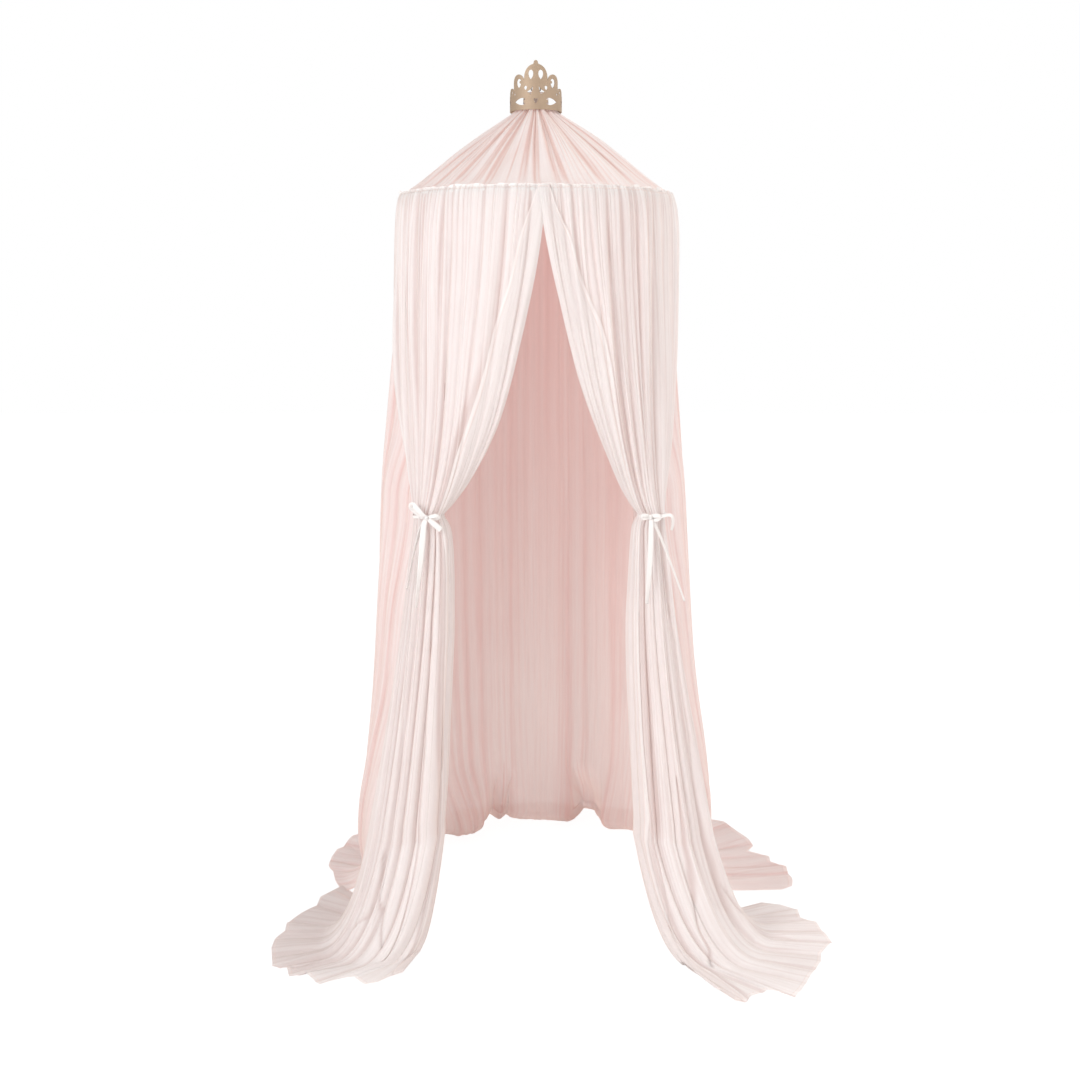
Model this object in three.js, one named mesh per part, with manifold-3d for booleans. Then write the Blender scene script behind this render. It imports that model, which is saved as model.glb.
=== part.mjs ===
// Bed crown canopy: a gathered cloth cone on a hoop, two tied front curtains, one back curtain
// and a pierced metal crown. Millimetres, +Z up, the front towards -Y. Heights are measured from
// the floor, and the whole canopy is then lowered so that the point it hangs from is the origin.

import * as THREE from "three";
import Module from "manifold-3d";
import { mergeVertices } from "three/addons/utils/BufferGeometryUtils.js";

const wasm = await Module();
wasm.setup();

// Values shared by every piece
const seat_gap = 0.3;
const cut_overrun = 2;
const cloth_thickness = 2;
const weld_distance = 1e-4;
const probe_share = 1e-3;

// Hoop: three rod sections joined by sleeves, inside a cloth casing
const hoop_radius = 295;
const hoop_height = 1635;
const rod_radius = 3.5;
const rod_end_gap = 1;
const sleeve_wall = 1;
const sleeve_length = 40;
const casing_wall = 1.2;
const casing_slack = 1.4;
const hoop_sections = 3;
const sleeve_inner_radius = rod_radius + 1.5 * seat_gap;
const sleeve_outer_radius = sleeve_inner_radius + sleeve_wall;
const casing_inner_radius = sleeve_outer_radius + casing_slack;
const casing_outer_radius = casing_inner_radius + casing_wall;
const full_turn_angle = 360;
const casing_slot_angle = 52;
const casing_slot_direction = 225;
const rod_steps = 30;
const rod_sides = 4;
const sleeve_steps = 2;
const sleeve_sides = 5;
const casing_steps = 7;
const casing_segments = 48;

// Crown: a pierced strip rolled into a ring and closed by two rivets at the back
const crown_radius = 56;
const crown_rise = 186;
const crown_wall = 1.2;
const crown_rim_height = hoop_height + crown_rise;
const crown_facets = 80;
const outline_steps = 7;
const hole_steps = 5;
const leaf_steps = 3;
const lap_length = 12;
const rivet_radius = 1.2;
const rivet_head_radius = 2.4;
const rivet_head_height = 0.9;
const rivet_head_top_share = 0.7;
const rivet_spacing = 6.4;
const rivet_sides = 12;

// Heights above the rim, and half widths, of the crown's arched panels
const centre_panel = { place: 0, half_width: 26, crest: 94 };
const second_panel = { place: 40.5, half_width: 15, crest: 73.5 };
const third_panel = { place: 65.5, half_width: 14.5, crest: 47 };
const side_panel = { place: 86.5, half_width: 15, crest: 33 };
const back_band_height = 13.5;
const finial_radius = 4.5;
const finial_height = 96.5;
const finial_flare = 9;
const finial_root = 4;
const arch_spring_share = 0.85;
const arch_foot_share = 0.25;
const arch_shoulder_share = 0.45;
const arch_crest_share = 0.5;

// The crown's cut-outs, by arc length from the front and height above the rim
const teardrop_hole = { x: 10.6, z: 71.5, half_width: 5.6, half_height: 10 };
const lozenge_hole = { x: 22.4, z: 44.5, half_width: 3.4, half_height: 4.4 };
const crescent_hole = { x: 38.8, z: 54.5, half_width: 6.2, half_height: 10, knob_height: 57 };
const heart_hole = { half_width: 4.9, low: 11.8, high: 22.2 };
const eye_hole = { x: 36.2, z: 17.2, half_width: 14.6, half_height: 7.4, knob_height: 17.2 };
const side_eye_hole = { x: 81.5, z: 17, half_width: 12.6, half_height: 6.2, knob_height: 17 };
const drop_hole = { x: 52.4, z: 33, half_width: 1.8, half_height: 3.1 };
const third_hole = { x: 64.6, z: 37.5, half_width: 2.6, half_height: 4 };
const leaf_tip = { x: 6.6, z: 48 };
const leaf_base = { x: 18.8, z: 37 };
const leaf_foot = { x: 10.8, z: 31 };
const leaf_shoulder = { x: 10.4, z: 40.4 };
const leaf_heel = { x: 6.2, z: 40 };
const large_knob_radius = 3.4;
const small_knob_radius = 2.9;
const knob_root_share = 0.7;
const drop_bulge_share = 1.5;
const drop_belly_share = 0.1;
const almond_blunt_share = 1.6;
const almond_bend_share = 1.1;
const almond_bend_place_share = 0.2;
const heart_belly_share = 0.6;

// Neck, where the cone is gathered, and the loop and ring it hangs from
const neck_radius = 24;
const binding_width = 12;
const binding_thickness = 1;
const binding_rise = 24;
const ruff_flare = 3;
const ruff_length = 10;
const webbing_width = 15;
const webbing_thickness = 1.2;
const webbing_tail = 14;
const ring_wire_radius = 1.75;
const ring_bar_length = 20;
const ring_height = 20;
const ring_bar_rise = 46;
const ring_corner_share = 1.6;
const ring_sides = 10;
const webbing_waist_share = 0.62;
const webbing_waist_height_share = 0.45;
const webbing_bend_steps = 8;

// Cone and its folds
const cone_folds = 18;
const cone_fold_depth = 3;
const neck_fold_depth = 1;
const edge_fold_depth = 1.2;
const cone_foot_share = 0.25;

// The cone's profile from the hoop's edge up to the crown's rim
const cone_reach_shares = [1, 0.885, 0.59, 0.27, 0];
const cone_rise_shares = [0, 0.1, 0.4, 0.73, 1];
const slope_reach_share = cone_reach_shares[3];
const slope_rise_share = 1 - cone_rise_shares[3];

// Tied front curtains
const curtain_fold_depth = 8;
const heading_fold_depth = 1.6;
const waist_fold_depth = 3.4;
const tail_fold_depth = 12;
const floor_fold_depth = 5;
const curtain_folds = 8;
const tie_height = 963;
const sweep_height = 250;
const opening_gap = 2;
const curtain_side_angle = 86;
const curtain_rise_share = 0.7;
const loop_start_angle = -25;
const loop_end_angle = 245;
const lead_pull_share = 1.85;
const side_pull_share = 3.5;
const flare_share = 0.25;
const end_fold_share = 0.3;
const left_waist = { x: 233, y: -200, half_width: 33, half_depth: 28 };
const right_waist = { x: 249, y: -192, half_width: 33, half_depth: 28 };
const left_foot = { x: 290, y: -205, half_width: 82, half_depth: 66 };
const right_foot = { x: 305, y: -210, half_width: 86, half_depth: 68 };
const train_length = 270;

// Back curtain
const back_folds = 13;
const back_fold_depth = 6;
const back_hem_fold_depth = 11;
const back_heading_drop = 0.2;
const back_inset_share = 0.3;
const back_hem_radius = 440;
const back_puddle = 165;
const hem_bend = 45;
const side_swell = 8;

// Satin ties
const ribbon_width = 11;
const ribbon_thickness = 1;
const bow_loop_length = 44;
const bow_loop_height = 7;
const knot_radius = 7;
const long_tail = 185;
const short_tail = 150;
const tail_stand_off = 9;
const tail_slope_share = 0.12;
const knot_depth_share = 0.62;
const knot_height_share = 0.9;
const bow_steps = 10;
const tail_steps = 6;
const band_steps = 14;
const large_loop = { angle: 142, length_share: 1 };
const small_loop = { angle: -34, length_share: 0.85 };
const inner_tail = { lean_share: -0.1, length: long_tail };
const outer_tail = { lean_share: 0.3, length: short_tail };
const left_bow_turn = -2;
const right_bow_turn = 38;

// Plain helpers

function radians(degrees) {
  return degrees * Math.PI / 180;
}

function clamp01(share) {
  return Math.min(1, Math.max(0, share));
}

function ease(share) {
  const t = clamp01(share);
  return t * t * (3 - 2 * t);
}

function mix(a, b, share) {
  return a + (b - a) * share;
}

// Smooth curve through values given at rising places
function through(places, values, at) {
  const last = places.length - 1;
  const x = Math.min(places[last], Math.max(places[0], at));
  let k = 0;
  while (k < last - 1 && x > places[k + 1]) {
    k += 1;
  }
  const slope = (a, b) => (values[b] - values[a]) / (places[b] - places[a]);
  const slope_at = (n) => {
    if (n === 0) {
      return slope(0, 1);
    }
    if (n === last) {
      return slope(last - 1, last);
    }
    const before = slope(n - 1, n);
    const after = slope(n, n + 1);
    return before * after > 0 ? 2 * before * after / (before + after) : 0;
  };
  const span = places[k + 1] - places[k];
  const t = (x - places[k]) / span;
  const rise = values[k + 1] - values[k];
  const start = slope_at(k) * span;
  const end = slope_at(k + 1) * span;
  return values[k] + t * start + t * t * (3 * rise - 2 * start - end)
    + t * t * t * (start + end - 2 * rise);
}

function to_manifold(geometry) {
  const bare = geometry.clone();
  bare.deleteAttribute("normal");
  bare.deleteAttribute("uv");
  const merged = mergeVertices(bare, weld_distance);
  const mesh = new wasm.Mesh({
    numProp: 3,
    vertProperties: new Float32Array(merged.attributes.position.array),
    triVerts: new Uint32Array(merged.index.array),
  });
  mesh.merge();
  return new wasm.Manifold(mesh);
}

function to_geometry(solid) {
  const mesh = solid.getMesh();
  const geometry = new THREE.BufferGeometry();
  geometry.setAttribute("position", new THREE.BufferAttribute(new Float32Array(mesh.vertProperties), 3));
  geometry.setIndex(new THREE.BufferAttribute(new Uint32Array(mesh.triVerts), 1));
  return geometry;
}

function union_of(solids) {
  return solids.reduce((whole, solid) => whole.add(solid));
}

// Cloth as a closed shell round a grid of points: rows run down the cloth, columns across it
function cloth_shell(grid, closed, thickness) {
  const rows = grid.length;
  const columns = grid[0].length;
  const column = (j) => (closed ? (j + columns) % columns : Math.min(columns - 1, Math.max(0, j)));
  const row = (i) => Math.min(rows - 1, Math.max(0, i));
  const positions = [];
  const skins = [[], []];
  for (let side = 0; side < 2; side += 1) {
    const offset = (side === 0 ? 1 : -1) * thickness / 2;
    for (let i = 0; i < rows; i += 1) {
      for (let j = 0; j < columns; j += 1) {
        const down = grid[row(i + 1)][j].clone().sub(grid[row(i - 1)][j]);
        const across = grid[i][column(j + 1)].clone().sub(grid[i][column(j - 1)]);
        const normal = across.cross(down).normalize();
        const point = grid[i][j].clone().addScaledVector(normal, offset);
        skins[side].push(positions.length / 3);
        positions.push(point.x, point.y, Math.max(0, point.z));
      }
    }
  }
  const faces = [];
  const at = (side, i, j) => skins[side][i * columns + column(j)];
  const quad = (a, b, c, d) => {
    faces.push(a, b, c, a, c, d);
  };
  const spans = closed ? columns : columns - 1;
  for (let i = 0; i < rows - 1; i += 1) {
    for (let j = 0; j < spans; j += 1) {
      quad(at(0, i, j), at(0, i, j + 1), at(0, i + 1, j + 1), at(0, i + 1, j));
      quad(at(1, i, j), at(1, i + 1, j), at(1, i + 1, j + 1), at(1, i, j + 1));
    }
  }
  for (let j = 0; j < spans; j += 1) {
    quad(at(0, 0, j), at(1, 0, j), at(1, 0, j + 1), at(0, 0, j + 1));
    quad(at(0, rows - 1, j), at(0, rows - 1, j + 1), at(1, rows - 1, j + 1), at(1, rows - 1, j));
  }
  if (!closed) {
    for (let i = 0; i < rows - 1; i += 1) {
      quad(at(0, i, 0), at(0, i + 1, 0), at(1, i + 1, 0), at(1, i, 0));
      const end = columns - 1;
      quad(at(0, i, end), at(1, i, end), at(1, i + 1, end), at(0, i + 1, end));
    }
  }
  const geometry = new THREE.BufferGeometry();
  geometry.setAttribute("position", new THREE.Float32BufferAttribute(positions, 3));
  geometry.setIndex(faces);
  return facing_out(geometry);
}

// Turns a closed geometry's faces round where its volume comes out negative
function facing_out(geometry) {
  const position = geometry.attributes.position;
  const index = geometry.index.array;
  const a = new THREE.Vector3();
  const b = new THREE.Vector3();
  const c = new THREE.Vector3();
  let volume = 0;
  for (let k = 0; k < index.length; k += 3) {
    a.fromBufferAttribute(position, index[k]);
    b.fromBufferAttribute(position, index[k + 1]);
    c.fromBufferAttribute(position, index[k + 2]);
    volume += a.dot(b.clone().cross(c));
  }
  if (volume < 0) {
    for (let k = 0; k < index.length; k += 3) {
      const swap = index[k + 1];
      index[k + 1] = index[k + 2];
      index[k + 2] = swap;
    }
  }
  return geometry;
}

// Smooth base surface plus folds that run down it
function folded_grid(base, row_places, column_count, fold_count, depth_at, closed) {
  const columns = closed ? column_count : column_count + 1;
  const grid = [];
  for (const place of row_places) {
    const line = [];
    for (let j = 0; j < columns; j += 1) {
      const p = j / column_count;
      const point = base(p, place);
      const across = base(p + probe_share, place).sub(base(p - probe_share, place));
      const down = base(p, place + probe_share).sub(base(p, place - probe_share));
      const normal = across.cross(down).normalize();
      const wave = Math.sin(2 * Math.PI * fold_count * p);
      line.push(point.addScaledVector(normal, depth_at(p, place) * wave));
    }
    grid.push(line);
  }
  return grid;
}

// Cone: gathered at the neck, bound there, and spread over the hoop

const cone_foot_radius = hoop_radius + casing_outer_radius * cone_foot_share;
const casing_flat_radius = casing_outer_radius
  * Math.cos(radians(full_turn_angle - casing_slot_angle) / casing_steps / 2);
const cone_slope = Math.atan2(crown_rise * slope_rise_share,
  (cone_foot_radius - crown_radius) * slope_reach_share);
const cone_edge_skin = (cloth_thickness / 2 + edge_fold_depth) * Math.cos(cone_slope);
const cone_foot_height = hoop_height + casing_flat_radius + seat_gap + cone_edge_skin;
const cone_skin = 3 * seat_gap + cloth_thickness / 2 + cone_fold_depth;
const crown_seat_radius = crown_radius - crown_wall / 2 - cone_skin / Math.sin(cone_slope);
const neck_height = crown_rim_height + binding_rise;
const binding_half = binding_width / 2 + seat_gap;

// Rings of the cone, from the hoop's edge to the top of the ruff
const cone_radii = [
  ...cone_reach_shares.map((share) => mix(crown_seat_radius, cone_foot_radius, share)),
  neck_radius,
  neck_radius,
  neck_radius + ruff_flare,
];
const cone_heights = [
  ...cone_rise_shares.map((share) => mix(cone_foot_height, crown_rim_height, share)),
  neck_height - binding_half,
  neck_height + binding_half,
  neck_height + binding_width / 2 + ruff_length,
];
const cone_depths = [edge_fold_depth, cone_fold_depth, cone_fold_depth, cone_fold_depth,
  cone_fold_depth, neck_fold_depth, neck_fold_depth, ruff_flare];

function cone() {
  const rings = cone_radii.map((radius, ring) => ring);
  const top = rings.length - 1;
  const base = (p, place) => {
    const radius = through(rings, cone_radii, top - place);
    const height = through(rings, cone_heights, top - place);
    const angle = 2 * Math.PI * p;
    return new THREE.Vector3(radius * Math.sin(angle), -radius * Math.cos(angle), height);
  };
  const depth_at = (p, place) => through(rings, cone_depths, top - place);
  const grid = folded_grid(base, rings, cone_folds * 4, cone_folds, depth_at, true);
  return cloth_shell(grid, true, cloth_thickness);
}

// Front curtains: a quarter of the hoop, drawn in to the tie, then spread over the floor

const heading_radius = hoop_radius + casing_outer_radius + seat_gap + cloth_thickness / 2
  + heading_fold_depth;
const heading_height = hoop_height + casing_outer_radius * curtain_rise_share;
const opening_angle = Math.atan(opening_gap / heading_radius);

function heading_point(side, p) {
  const angle = mix(opening_angle, radians(curtain_side_angle), p);
  return new THREE.Vector3(side * heading_radius * Math.sin(angle), -heading_radius * Math.cos(angle),
    heading_height);
}

// Open loop round an upright oval, from its inner side by way of the front and the outer side
function loop_point(side, oval, inset, height, p) {
  const angle = radians(mix(loop_start_angle, loop_end_angle, p));
  return new THREE.Vector3(
    side * (oval.x - (oval.half_width - inset) * Math.cos(angle)),
    oval.y - (oval.half_depth - inset) * Math.sin(angle),
    height,
  );
}

const waist_inset = ribbon_thickness + seat_gap + cloth_thickness / 2 + waist_fold_depth;
const waist_half = ribbon_width / 2 + 2 * seat_gap;
const tail_start_share = 1.04;

// Where the cloth of a front curtain runs out over the floor, from its leading edge to its side
// edge: the way it runs, as an angle from the inner side by way of the front, and how far
const train_place_shares = [0, 0.25, 0.43, 0.6, 0.76, 0.9, 1];
const left_train = {
  angles: [107, 121, 130, 139, 158, 196, 222],
  reach_shares: [0.89, 0.8, 0.8, 0.84, 0.84, 0.78, 0.93],
};
const right_train = {
  angles: [116, 124, 138, 141, 170, 195, 216],
  reach_shares: [0.99, 1.18, 1.11, 1, 1.02, 0.95, 1],
};
const floor_share = 0.6;

// Places along a front curtain: 0 at the hoop, 1 at the tie, 2 where it starts to sweep, 3 at the hem
function curtain_base(side, waist, foot, train) {
  const hung_point = (p, place) => {
    const share = (place - tail_start_share) / (2 - tail_start_share);
    const flare = mix(share, share * share, flare_share);
    const tied = loop_point(side, waist, waist_inset, tie_height - waist_half, p);
    const height = mix(tied.z, sweep_height, share);
    return tied.lerp(loop_point(side, foot, 0, sweep_height, p), flare).setZ(height);
  };
  const swept_point = (p, place) => {
    const lie = place - 2;
    const inside = clamp01(p);
    const angle = radians(through(train_place_shares, train.angles, inside));
    const reach = train_length * through(train_place_shares, train.reach_shares, inside) * lie;
    const flat_height = floor_fold_depth + cloth_thickness / 2;
    const drop = Math.pow(Math.max(0, 1 - lie / floor_share), 2);
    const start = loop_point(side, foot, 0, mix(flat_height, sweep_height, drop), p);
    return start.add(new THREE.Vector3(-side * reach * Math.cos(angle), -reach * Math.sin(angle), 0));
  };
  return (p, place) => {
    if (place > 2) {
      return swept_point(p, place);
    }
    if (place > tail_start_share) {
      return hung_point(p, place);
    }
    const tied = loop_point(side, waist, waist_inset, tie_height + waist_half, p);
    if (place > 1) {
      return tied.setZ(tie_height + waist_half * (1 - 2 * (place - 1) / (tail_start_share - 1)));
    }
    const top = heading_point(side, p);
    const h = Math.max(0, place);
    const pull = Math.pow(h, mix(lead_pull_share, side_pull_share, clamp01(p)));
    const swell = side_swell * Math.sin(Math.PI * h) * clamp01(p);
    const out = new THREE.Vector3(top.x, top.y, 0).normalize();
    return top.clone().lerp(tied, pull).setZ(mix(top.z, tied.z, place)).addScaledVector(out, swell);
  };
}

function curtain_depth(p, place) {
  const ends = ease(Math.min(p, 1 - p) * curtain_folds);
  const depth = through(
    [0, 0.35, 0.8, 1, tail_start_share, 1.5, 2, 2.5, 3],
    [heading_fold_depth, curtain_fold_depth, curtain_fold_depth, waist_fold_depth, waist_fold_depth,
      curtain_fold_depth, tail_fold_depth, floor_fold_depth, floor_fold_depth],
    place,
  );
  return depth * mix(end_fold_share, 1, ends);
}

const curtain_row_shares = [0, 0.1, 0.35, 0.6, 0.82, 0.94, 1, tail_start_share, 1.2, 1.6, 2, 2.3, 2.62, 3];

function front_curtain(side, waist, foot, train) {
  const base = curtain_base(side, waist, foot, train);
  const grid = folded_grid(
    base, curtain_row_shares, curtain_folds * 5, curtain_folds, curtain_depth, false);
  return cloth_shell(grid, false, cloth_thickness);
}

// Back curtain: from behind one front curtain, round the back, to behind the other

const back_heading_height = hoop_height - casing_outer_radius - seat_gap - back_heading_drop;
const back_heading_radius = hoop_radius + casing_outer_radius * back_inset_share;
const side_level_shares = [0, 0.12, 0.18, 0.3, 0.45, 0.594, 0.68, 0.844, 0.96, 1];
const side_radius_shares = [1, 0.85, 0.735, 0.56, 0.42, 0.31, 0.245, 0.12, 0.04, 0];
const tuck_level_shares = [0, 0.06, 0.184, 0.307, 0.43, 0.59, 0.675, 0.756, 0.86, 1];
const edge_angles = [97, 88, 74, 66, 61, 55, 55, 56, 56, 56];
const edge_radius_shares = [0.96, 0.93, 0.852, 0.767, 0.783, 0.754, 0.787, 0.86, 0.91, 0.957];
const tuck_end_angles = [100, 92, 80, 72, 68, 62, 76, 85, 90, 89];
const tuck_radius_shares = [0.97, 0.96, 0.926, 0.873, 0.86, 0.784, 0.817, 0.88, 0.91, 0.96];
const tuck_start_angles = [104, 100, 98, 97, 96, 94, 96, 97, 97, 95];

// Radius of the back curtain: full behind, drawn in where it passes behind the front curtains
function back_radius(level, from_front) {
  const side = through(side_level_shares, side_radius_shares, level);
  const full = mix(back_heading_radius, back_hem_radius, side);
  const start = through(tuck_level_shares, tuck_start_angles, level);
  const end = through(tuck_level_shares, tuck_end_angles, level);
  const edge = through(tuck_level_shares, edge_angles, level);
  const tucked = full * through(tuck_level_shares, tuck_radius_shares, level);
  const edge_radius = full * through(tuck_level_shares, edge_radius_shares, level);
  if (from_front >= end) {
    return mix(full, tucked, ease((start - from_front) / (start - end)));
  }
  return mix(tucked, edge_radius, (end - from_front) / (end - edge));
}

function back_base(p, place) {
  const level = clamp01(1 - place);
  const edge_angle = through(tuck_level_shares, edge_angles, level);
  const around = mix(edge_angle, full_turn_angle - edge_angle, p);
  let radius = back_radius(level, Math.min(around, full_turn_angle - around));
  let height = Math.max(back_heading_height * level, hem_bend);
  if (place > 1) {
    const lie = place - 1;
    const flat_height = floor_fold_depth + cloth_thickness / 2;
    radius += back_puddle * lie;
    height = mix(hem_bend, flat_height, Math.sin(Math.min(1, lie * 4) * Math.PI / 2));
  }
  const angle = radians(around);
  return new THREE.Vector3(-radius * Math.sin(angle), -radius * Math.cos(angle), height);
}

function back_curtain() {
  const bend_place = 1 - hem_bend / back_heading_height;
  const rows = [0, 0.06, 0.25, 0.5, 0.75, bend_place, 1.14, 1.55, 2];
  const depth_at = (p, place) => {
    const ends = ease(Math.min(p, 1 - p) * back_folds / 2);
    const depth = through(
      [0, 0.2, 0.9, 1.15, 2],
      [heading_fold_depth, back_fold_depth, back_hem_fold_depth, floor_fold_depth, floor_fold_depth],
      place,
    );
    return depth * mix(end_fold_share, 1, ends);
  };
  const base = (p, place) => {
    if (place > bend_place && place <= 1) {
      return back_base(p, bend_place);
    }
    return back_base(p, place);
  };
  const grid = folded_grid(base, rows, back_folds * 4, back_folds, depth_at, false);
  return cloth_shell(grid, false, cloth_thickness);
}

// Hoop, sleeves and casing

class HoopArc extends THREE.Curve {
  constructor(start, end) {
    super();
    this.start = start;
    this.end = end;
  }

  getPoint(t) {
    const angle = mix(this.start, this.end, t);
    return new THREE.Vector3(hoop_radius * Math.sin(angle), -hoop_radius * Math.cos(angle), hoop_height);
  }
}

function along_hoop(shape, middle, length, steps, sides) {
  const half = length / hoop_radius / 2;
  const geometry = new THREE.ExtrudeGeometry(shape, {
    extrudePath: new HoopArc(middle - half, middle + half),
    steps,
    curveSegments: sides,
    bevelEnabled: false,
  });
  geometry.deleteAttribute("normal");
  geometry.deleteAttribute("uv");
  return facing_out(mergeVertices(geometry, weld_distance));
}

function hoop_section(number) {
  const length = 2 * Math.PI * hoop_radius / hoop_sections - rod_end_gap;
  const shape = new THREE.Shape();
  shape.absarc(0, 0, rod_radius, 0, 2 * Math.PI);
  return along_hoop(shape, 2 * Math.PI * (number + 0.5) / hoop_sections, length, rod_steps, rod_sides);
}

function hoop_sleeve(number) {
  const shape = new THREE.Shape();
  shape.absarc(0, 0, sleeve_outer_radius, 0, 2 * Math.PI);
  const bore = new THREE.Path();
  bore.absarc(0, 0, sleeve_inner_radius, 0, 2 * Math.PI);
  shape.holes.push(bore);
  return along_hoop(shape, 2 * Math.PI * number / hoop_sections, sleeve_length, sleeve_steps, sleeve_sides);
}

function closed_lathe(points, segments) {
  const geometry = new THREE.LatheGeometry([...points, points[0].clone()], segments);
  geometry.deleteAttribute("normal");
  geometry.deleteAttribute("uv");
  geometry.rotateX(Math.PI / 2);
  return facing_out(mergeVertices(geometry, weld_distance));
}

// Tube of cloth round the hoop, open along a slot where the curtains' headings are sewn in
function hoop_casing() {
  const first = radians(casing_slot_direction + casing_slot_angle / 2);
  const sweep = radians(full_turn_angle - casing_slot_angle);
  const skin = (radius) => Array.from({ length: casing_steps + 1 }, (unused, k) => {
    const angle = first + sweep * k / casing_steps;
    const x = hoop_radius + radius * Math.cos(angle);
    return new THREE.Vector2(x, hoop_height + radius * Math.sin(angle));
  });
  const outline = [...skin(casing_outer_radius), ...skin(casing_inner_radius).reverse()];
  return closed_lathe(outline, casing_segments);
}

// Neck binding, webbing loop and D-ring

const binding_inner_radius = neck_radius + neck_fold_depth + cloth_thickness / 2 + 2 * seat_gap;

function neck_binding() {
  const low = neck_height - binding_width / 2;
  const high = neck_height + binding_width / 2;
  const outer = binding_inner_radius + binding_thickness;
  return closed_lathe([
    new THREE.Vector2(binding_inner_radius, low),
    new THREE.Vector2(outer, low),
    new THREE.Vector2(outer, high),
    new THREE.Vector2(binding_inner_radius, high),
  ], 2 * cone_folds);
}

const ring_bar_height = crown_rim_height + ring_bar_rise;
const hang_height = ring_bar_height + ring_height - 2 * ring_wire_radius;

function webbing_loop() {
  const bend_radius = ring_wire_radius + 2 * seat_gap + webbing_thickness / 2;
  const neck_inner = neck_radius - neck_fold_depth / 2 - cloth_thickness / 2 - seat_gap;
  const leg_reach = Math.sqrt(neck_inner ** 2 - (webbing_width / 2) ** 2) - webbing_thickness / 2;
  const path = [];
  const low = neck_height - webbing_tail;
  const waist_height = mix(neck_height, ring_bar_height, webbing_waist_height_share);
  path.push(new THREE.Vector2(leg_reach, low));
  path.push(new THREE.Vector2(leg_reach, neck_height));
  path.push(new THREE.Vector2(leg_reach * webbing_waist_share, waist_height));
  for (let k = 0; k <= webbing_bend_steps; k += 1) {
    const angle = Math.PI * k / webbing_bend_steps;
    const rise = bend_radius * Math.sin(angle);
    path.push(new THREE.Vector2(bend_radius * Math.cos(angle), ring_bar_height + rise));
  }
  path.push(new THREE.Vector2(-leg_reach * webbing_waist_share, waist_height));
  path.push(new THREE.Vector2(-leg_reach, neck_height));
  path.push(new THREE.Vector2(-leg_reach, low));
  const left = [];
  const right = [];
  path.forEach((point, k) => {
    const ahead = path[Math.min(path.length - 1, k + 1)];
    const behind = path[Math.max(0, k - 1)];
    const along = ahead.clone().sub(behind).normalize();
    const square = new THREE.Vector2(-along.y, along.x).multiplyScalar(webbing_thickness / 2);
    left.push(point.clone().add(square));
    right.push(point.clone().sub(square));
  });
  const shape = new THREE.Shape([...left, ...right.reverse()]);
  const geometry = new THREE.ExtrudeGeometry(shape, { depth: webbing_width, bevelEnabled: false });
  geometry.translate(0, 0, -webbing_width / 2);
  geometry.deleteAttribute("normal");
  geometry.deleteAttribute("uv");
  const standing = new THREE.Matrix4().makeBasis(
    new THREE.Vector3(0, 1, 0), new THREE.Vector3(0, 0, 1), new THREE.Vector3(1, 0, 0));
  geometry.applyMatrix4(standing);
  return facing_out(mergeVertices(geometry, weld_distance));
}

// Round wire along a closed path that lies in the XZ plane
function closed_wire(path, radius, sides) {
  const positions = [];
  const faces = [];
  const count = path.length;
  path.forEach((point, k) => {
    const ahead = path[(k + 1) % count];
    const behind = path[(k + count - 1) % count];
    const along = ahead.clone().sub(behind).normalize();
    const out = new THREE.Vector3(along.z, 0, -along.x);
    for (let n = 0; n < sides; n += 1) {
      const angle = 2 * Math.PI * n / sides;
      positions.push(point.x + out.x * radius * Math.cos(angle), radius * Math.sin(angle),
        point.z + out.z * radius * Math.cos(angle));
      const next = (n + 1) % sides;
      const there = (k + 1) % count * sides;
      faces.push(k * sides + n, k * sides + next, there + next);
      faces.push(k * sides + n, there + next, there + n);
    }
  });
  const geometry = new THREE.BufferGeometry();
  geometry.setAttribute("position", new THREE.Float32BufferAttribute(positions, 3));
  geometry.setIndex(faces);
  return facing_out(geometry);
}

function hang_ring() {
  const half = ring_bar_length / 2;
  const corner = ring_wire_radius * ring_corner_share;
  const path = [];
  const add = (x, z) => path.push(new THREE.Vector3(x, 0, ring_bar_height + z));
  for (const share of [-0.6, -0.2, 0.2, 0.6]) {
    add(half * share, 0);
  }
  for (const turn of [-90, -45, 0]) {
    add(half - corner + corner * Math.cos(radians(turn)), corner + corner * Math.sin(radians(turn)));
  }
  const arch_height = ring_height - 2 * ring_wire_radius - corner;
  for (let turn = 20; turn <= 160; turn += 20) {
    add(half * Math.cos(radians(turn)), corner + arch_height * Math.sin(radians(turn)));
  }
  for (const turn of [180, 225, 270]) {
    add(corner - half + corner * Math.cos(radians(turn)), corner + corner * Math.sin(radians(turn)));
  }
  return closed_wire(path, ring_wire_radius, ring_sides);
}

// Crown: a tall strip is rolled into a ring, and its panels and cut-outs are pressed through the
// wall square to it. In every outline of the crown x is the arc length from the front.

const crown_girth = 2 * Math.PI * crown_radius;
const lap_middle = crown_girth / 2;
const lap_offset = crown_wall + seat_gap;
const crown_inner_radius = crown_radius - crown_wall / 2;
const crown_top = finial_height + finial_radius;

// The strip's far end lies over its near end, so the strip is one lap longer than the girth
function rolled_strip(height) {
  const inner = [];
  const outer = [];
  for (let k = 0; k <= crown_facets; k += 1) {
    const arc = mix(-lap_middle - lap_length / 2, lap_middle + lap_length / 2, k / crown_facets);
    const angle = arc / crown_radius;
    const lift = lap_offset * ease((arc - lap_middle + lap_length * 2) / lap_length);
    const at = (radius) => new THREE.Vector2(radius * Math.sin(angle), -radius * Math.cos(angle));
    inner.push(at(crown_inner_radius + lift));
    outer.push(at(crown_inner_radius + crown_wall + lift));
  }
  const shape = new THREE.Shape([...outer, ...inner.reverse()]);
  return to_manifold(new THREE.ExtrudeGeometry(shape, { depth: height, bevelEnabled: false }));
}

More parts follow.
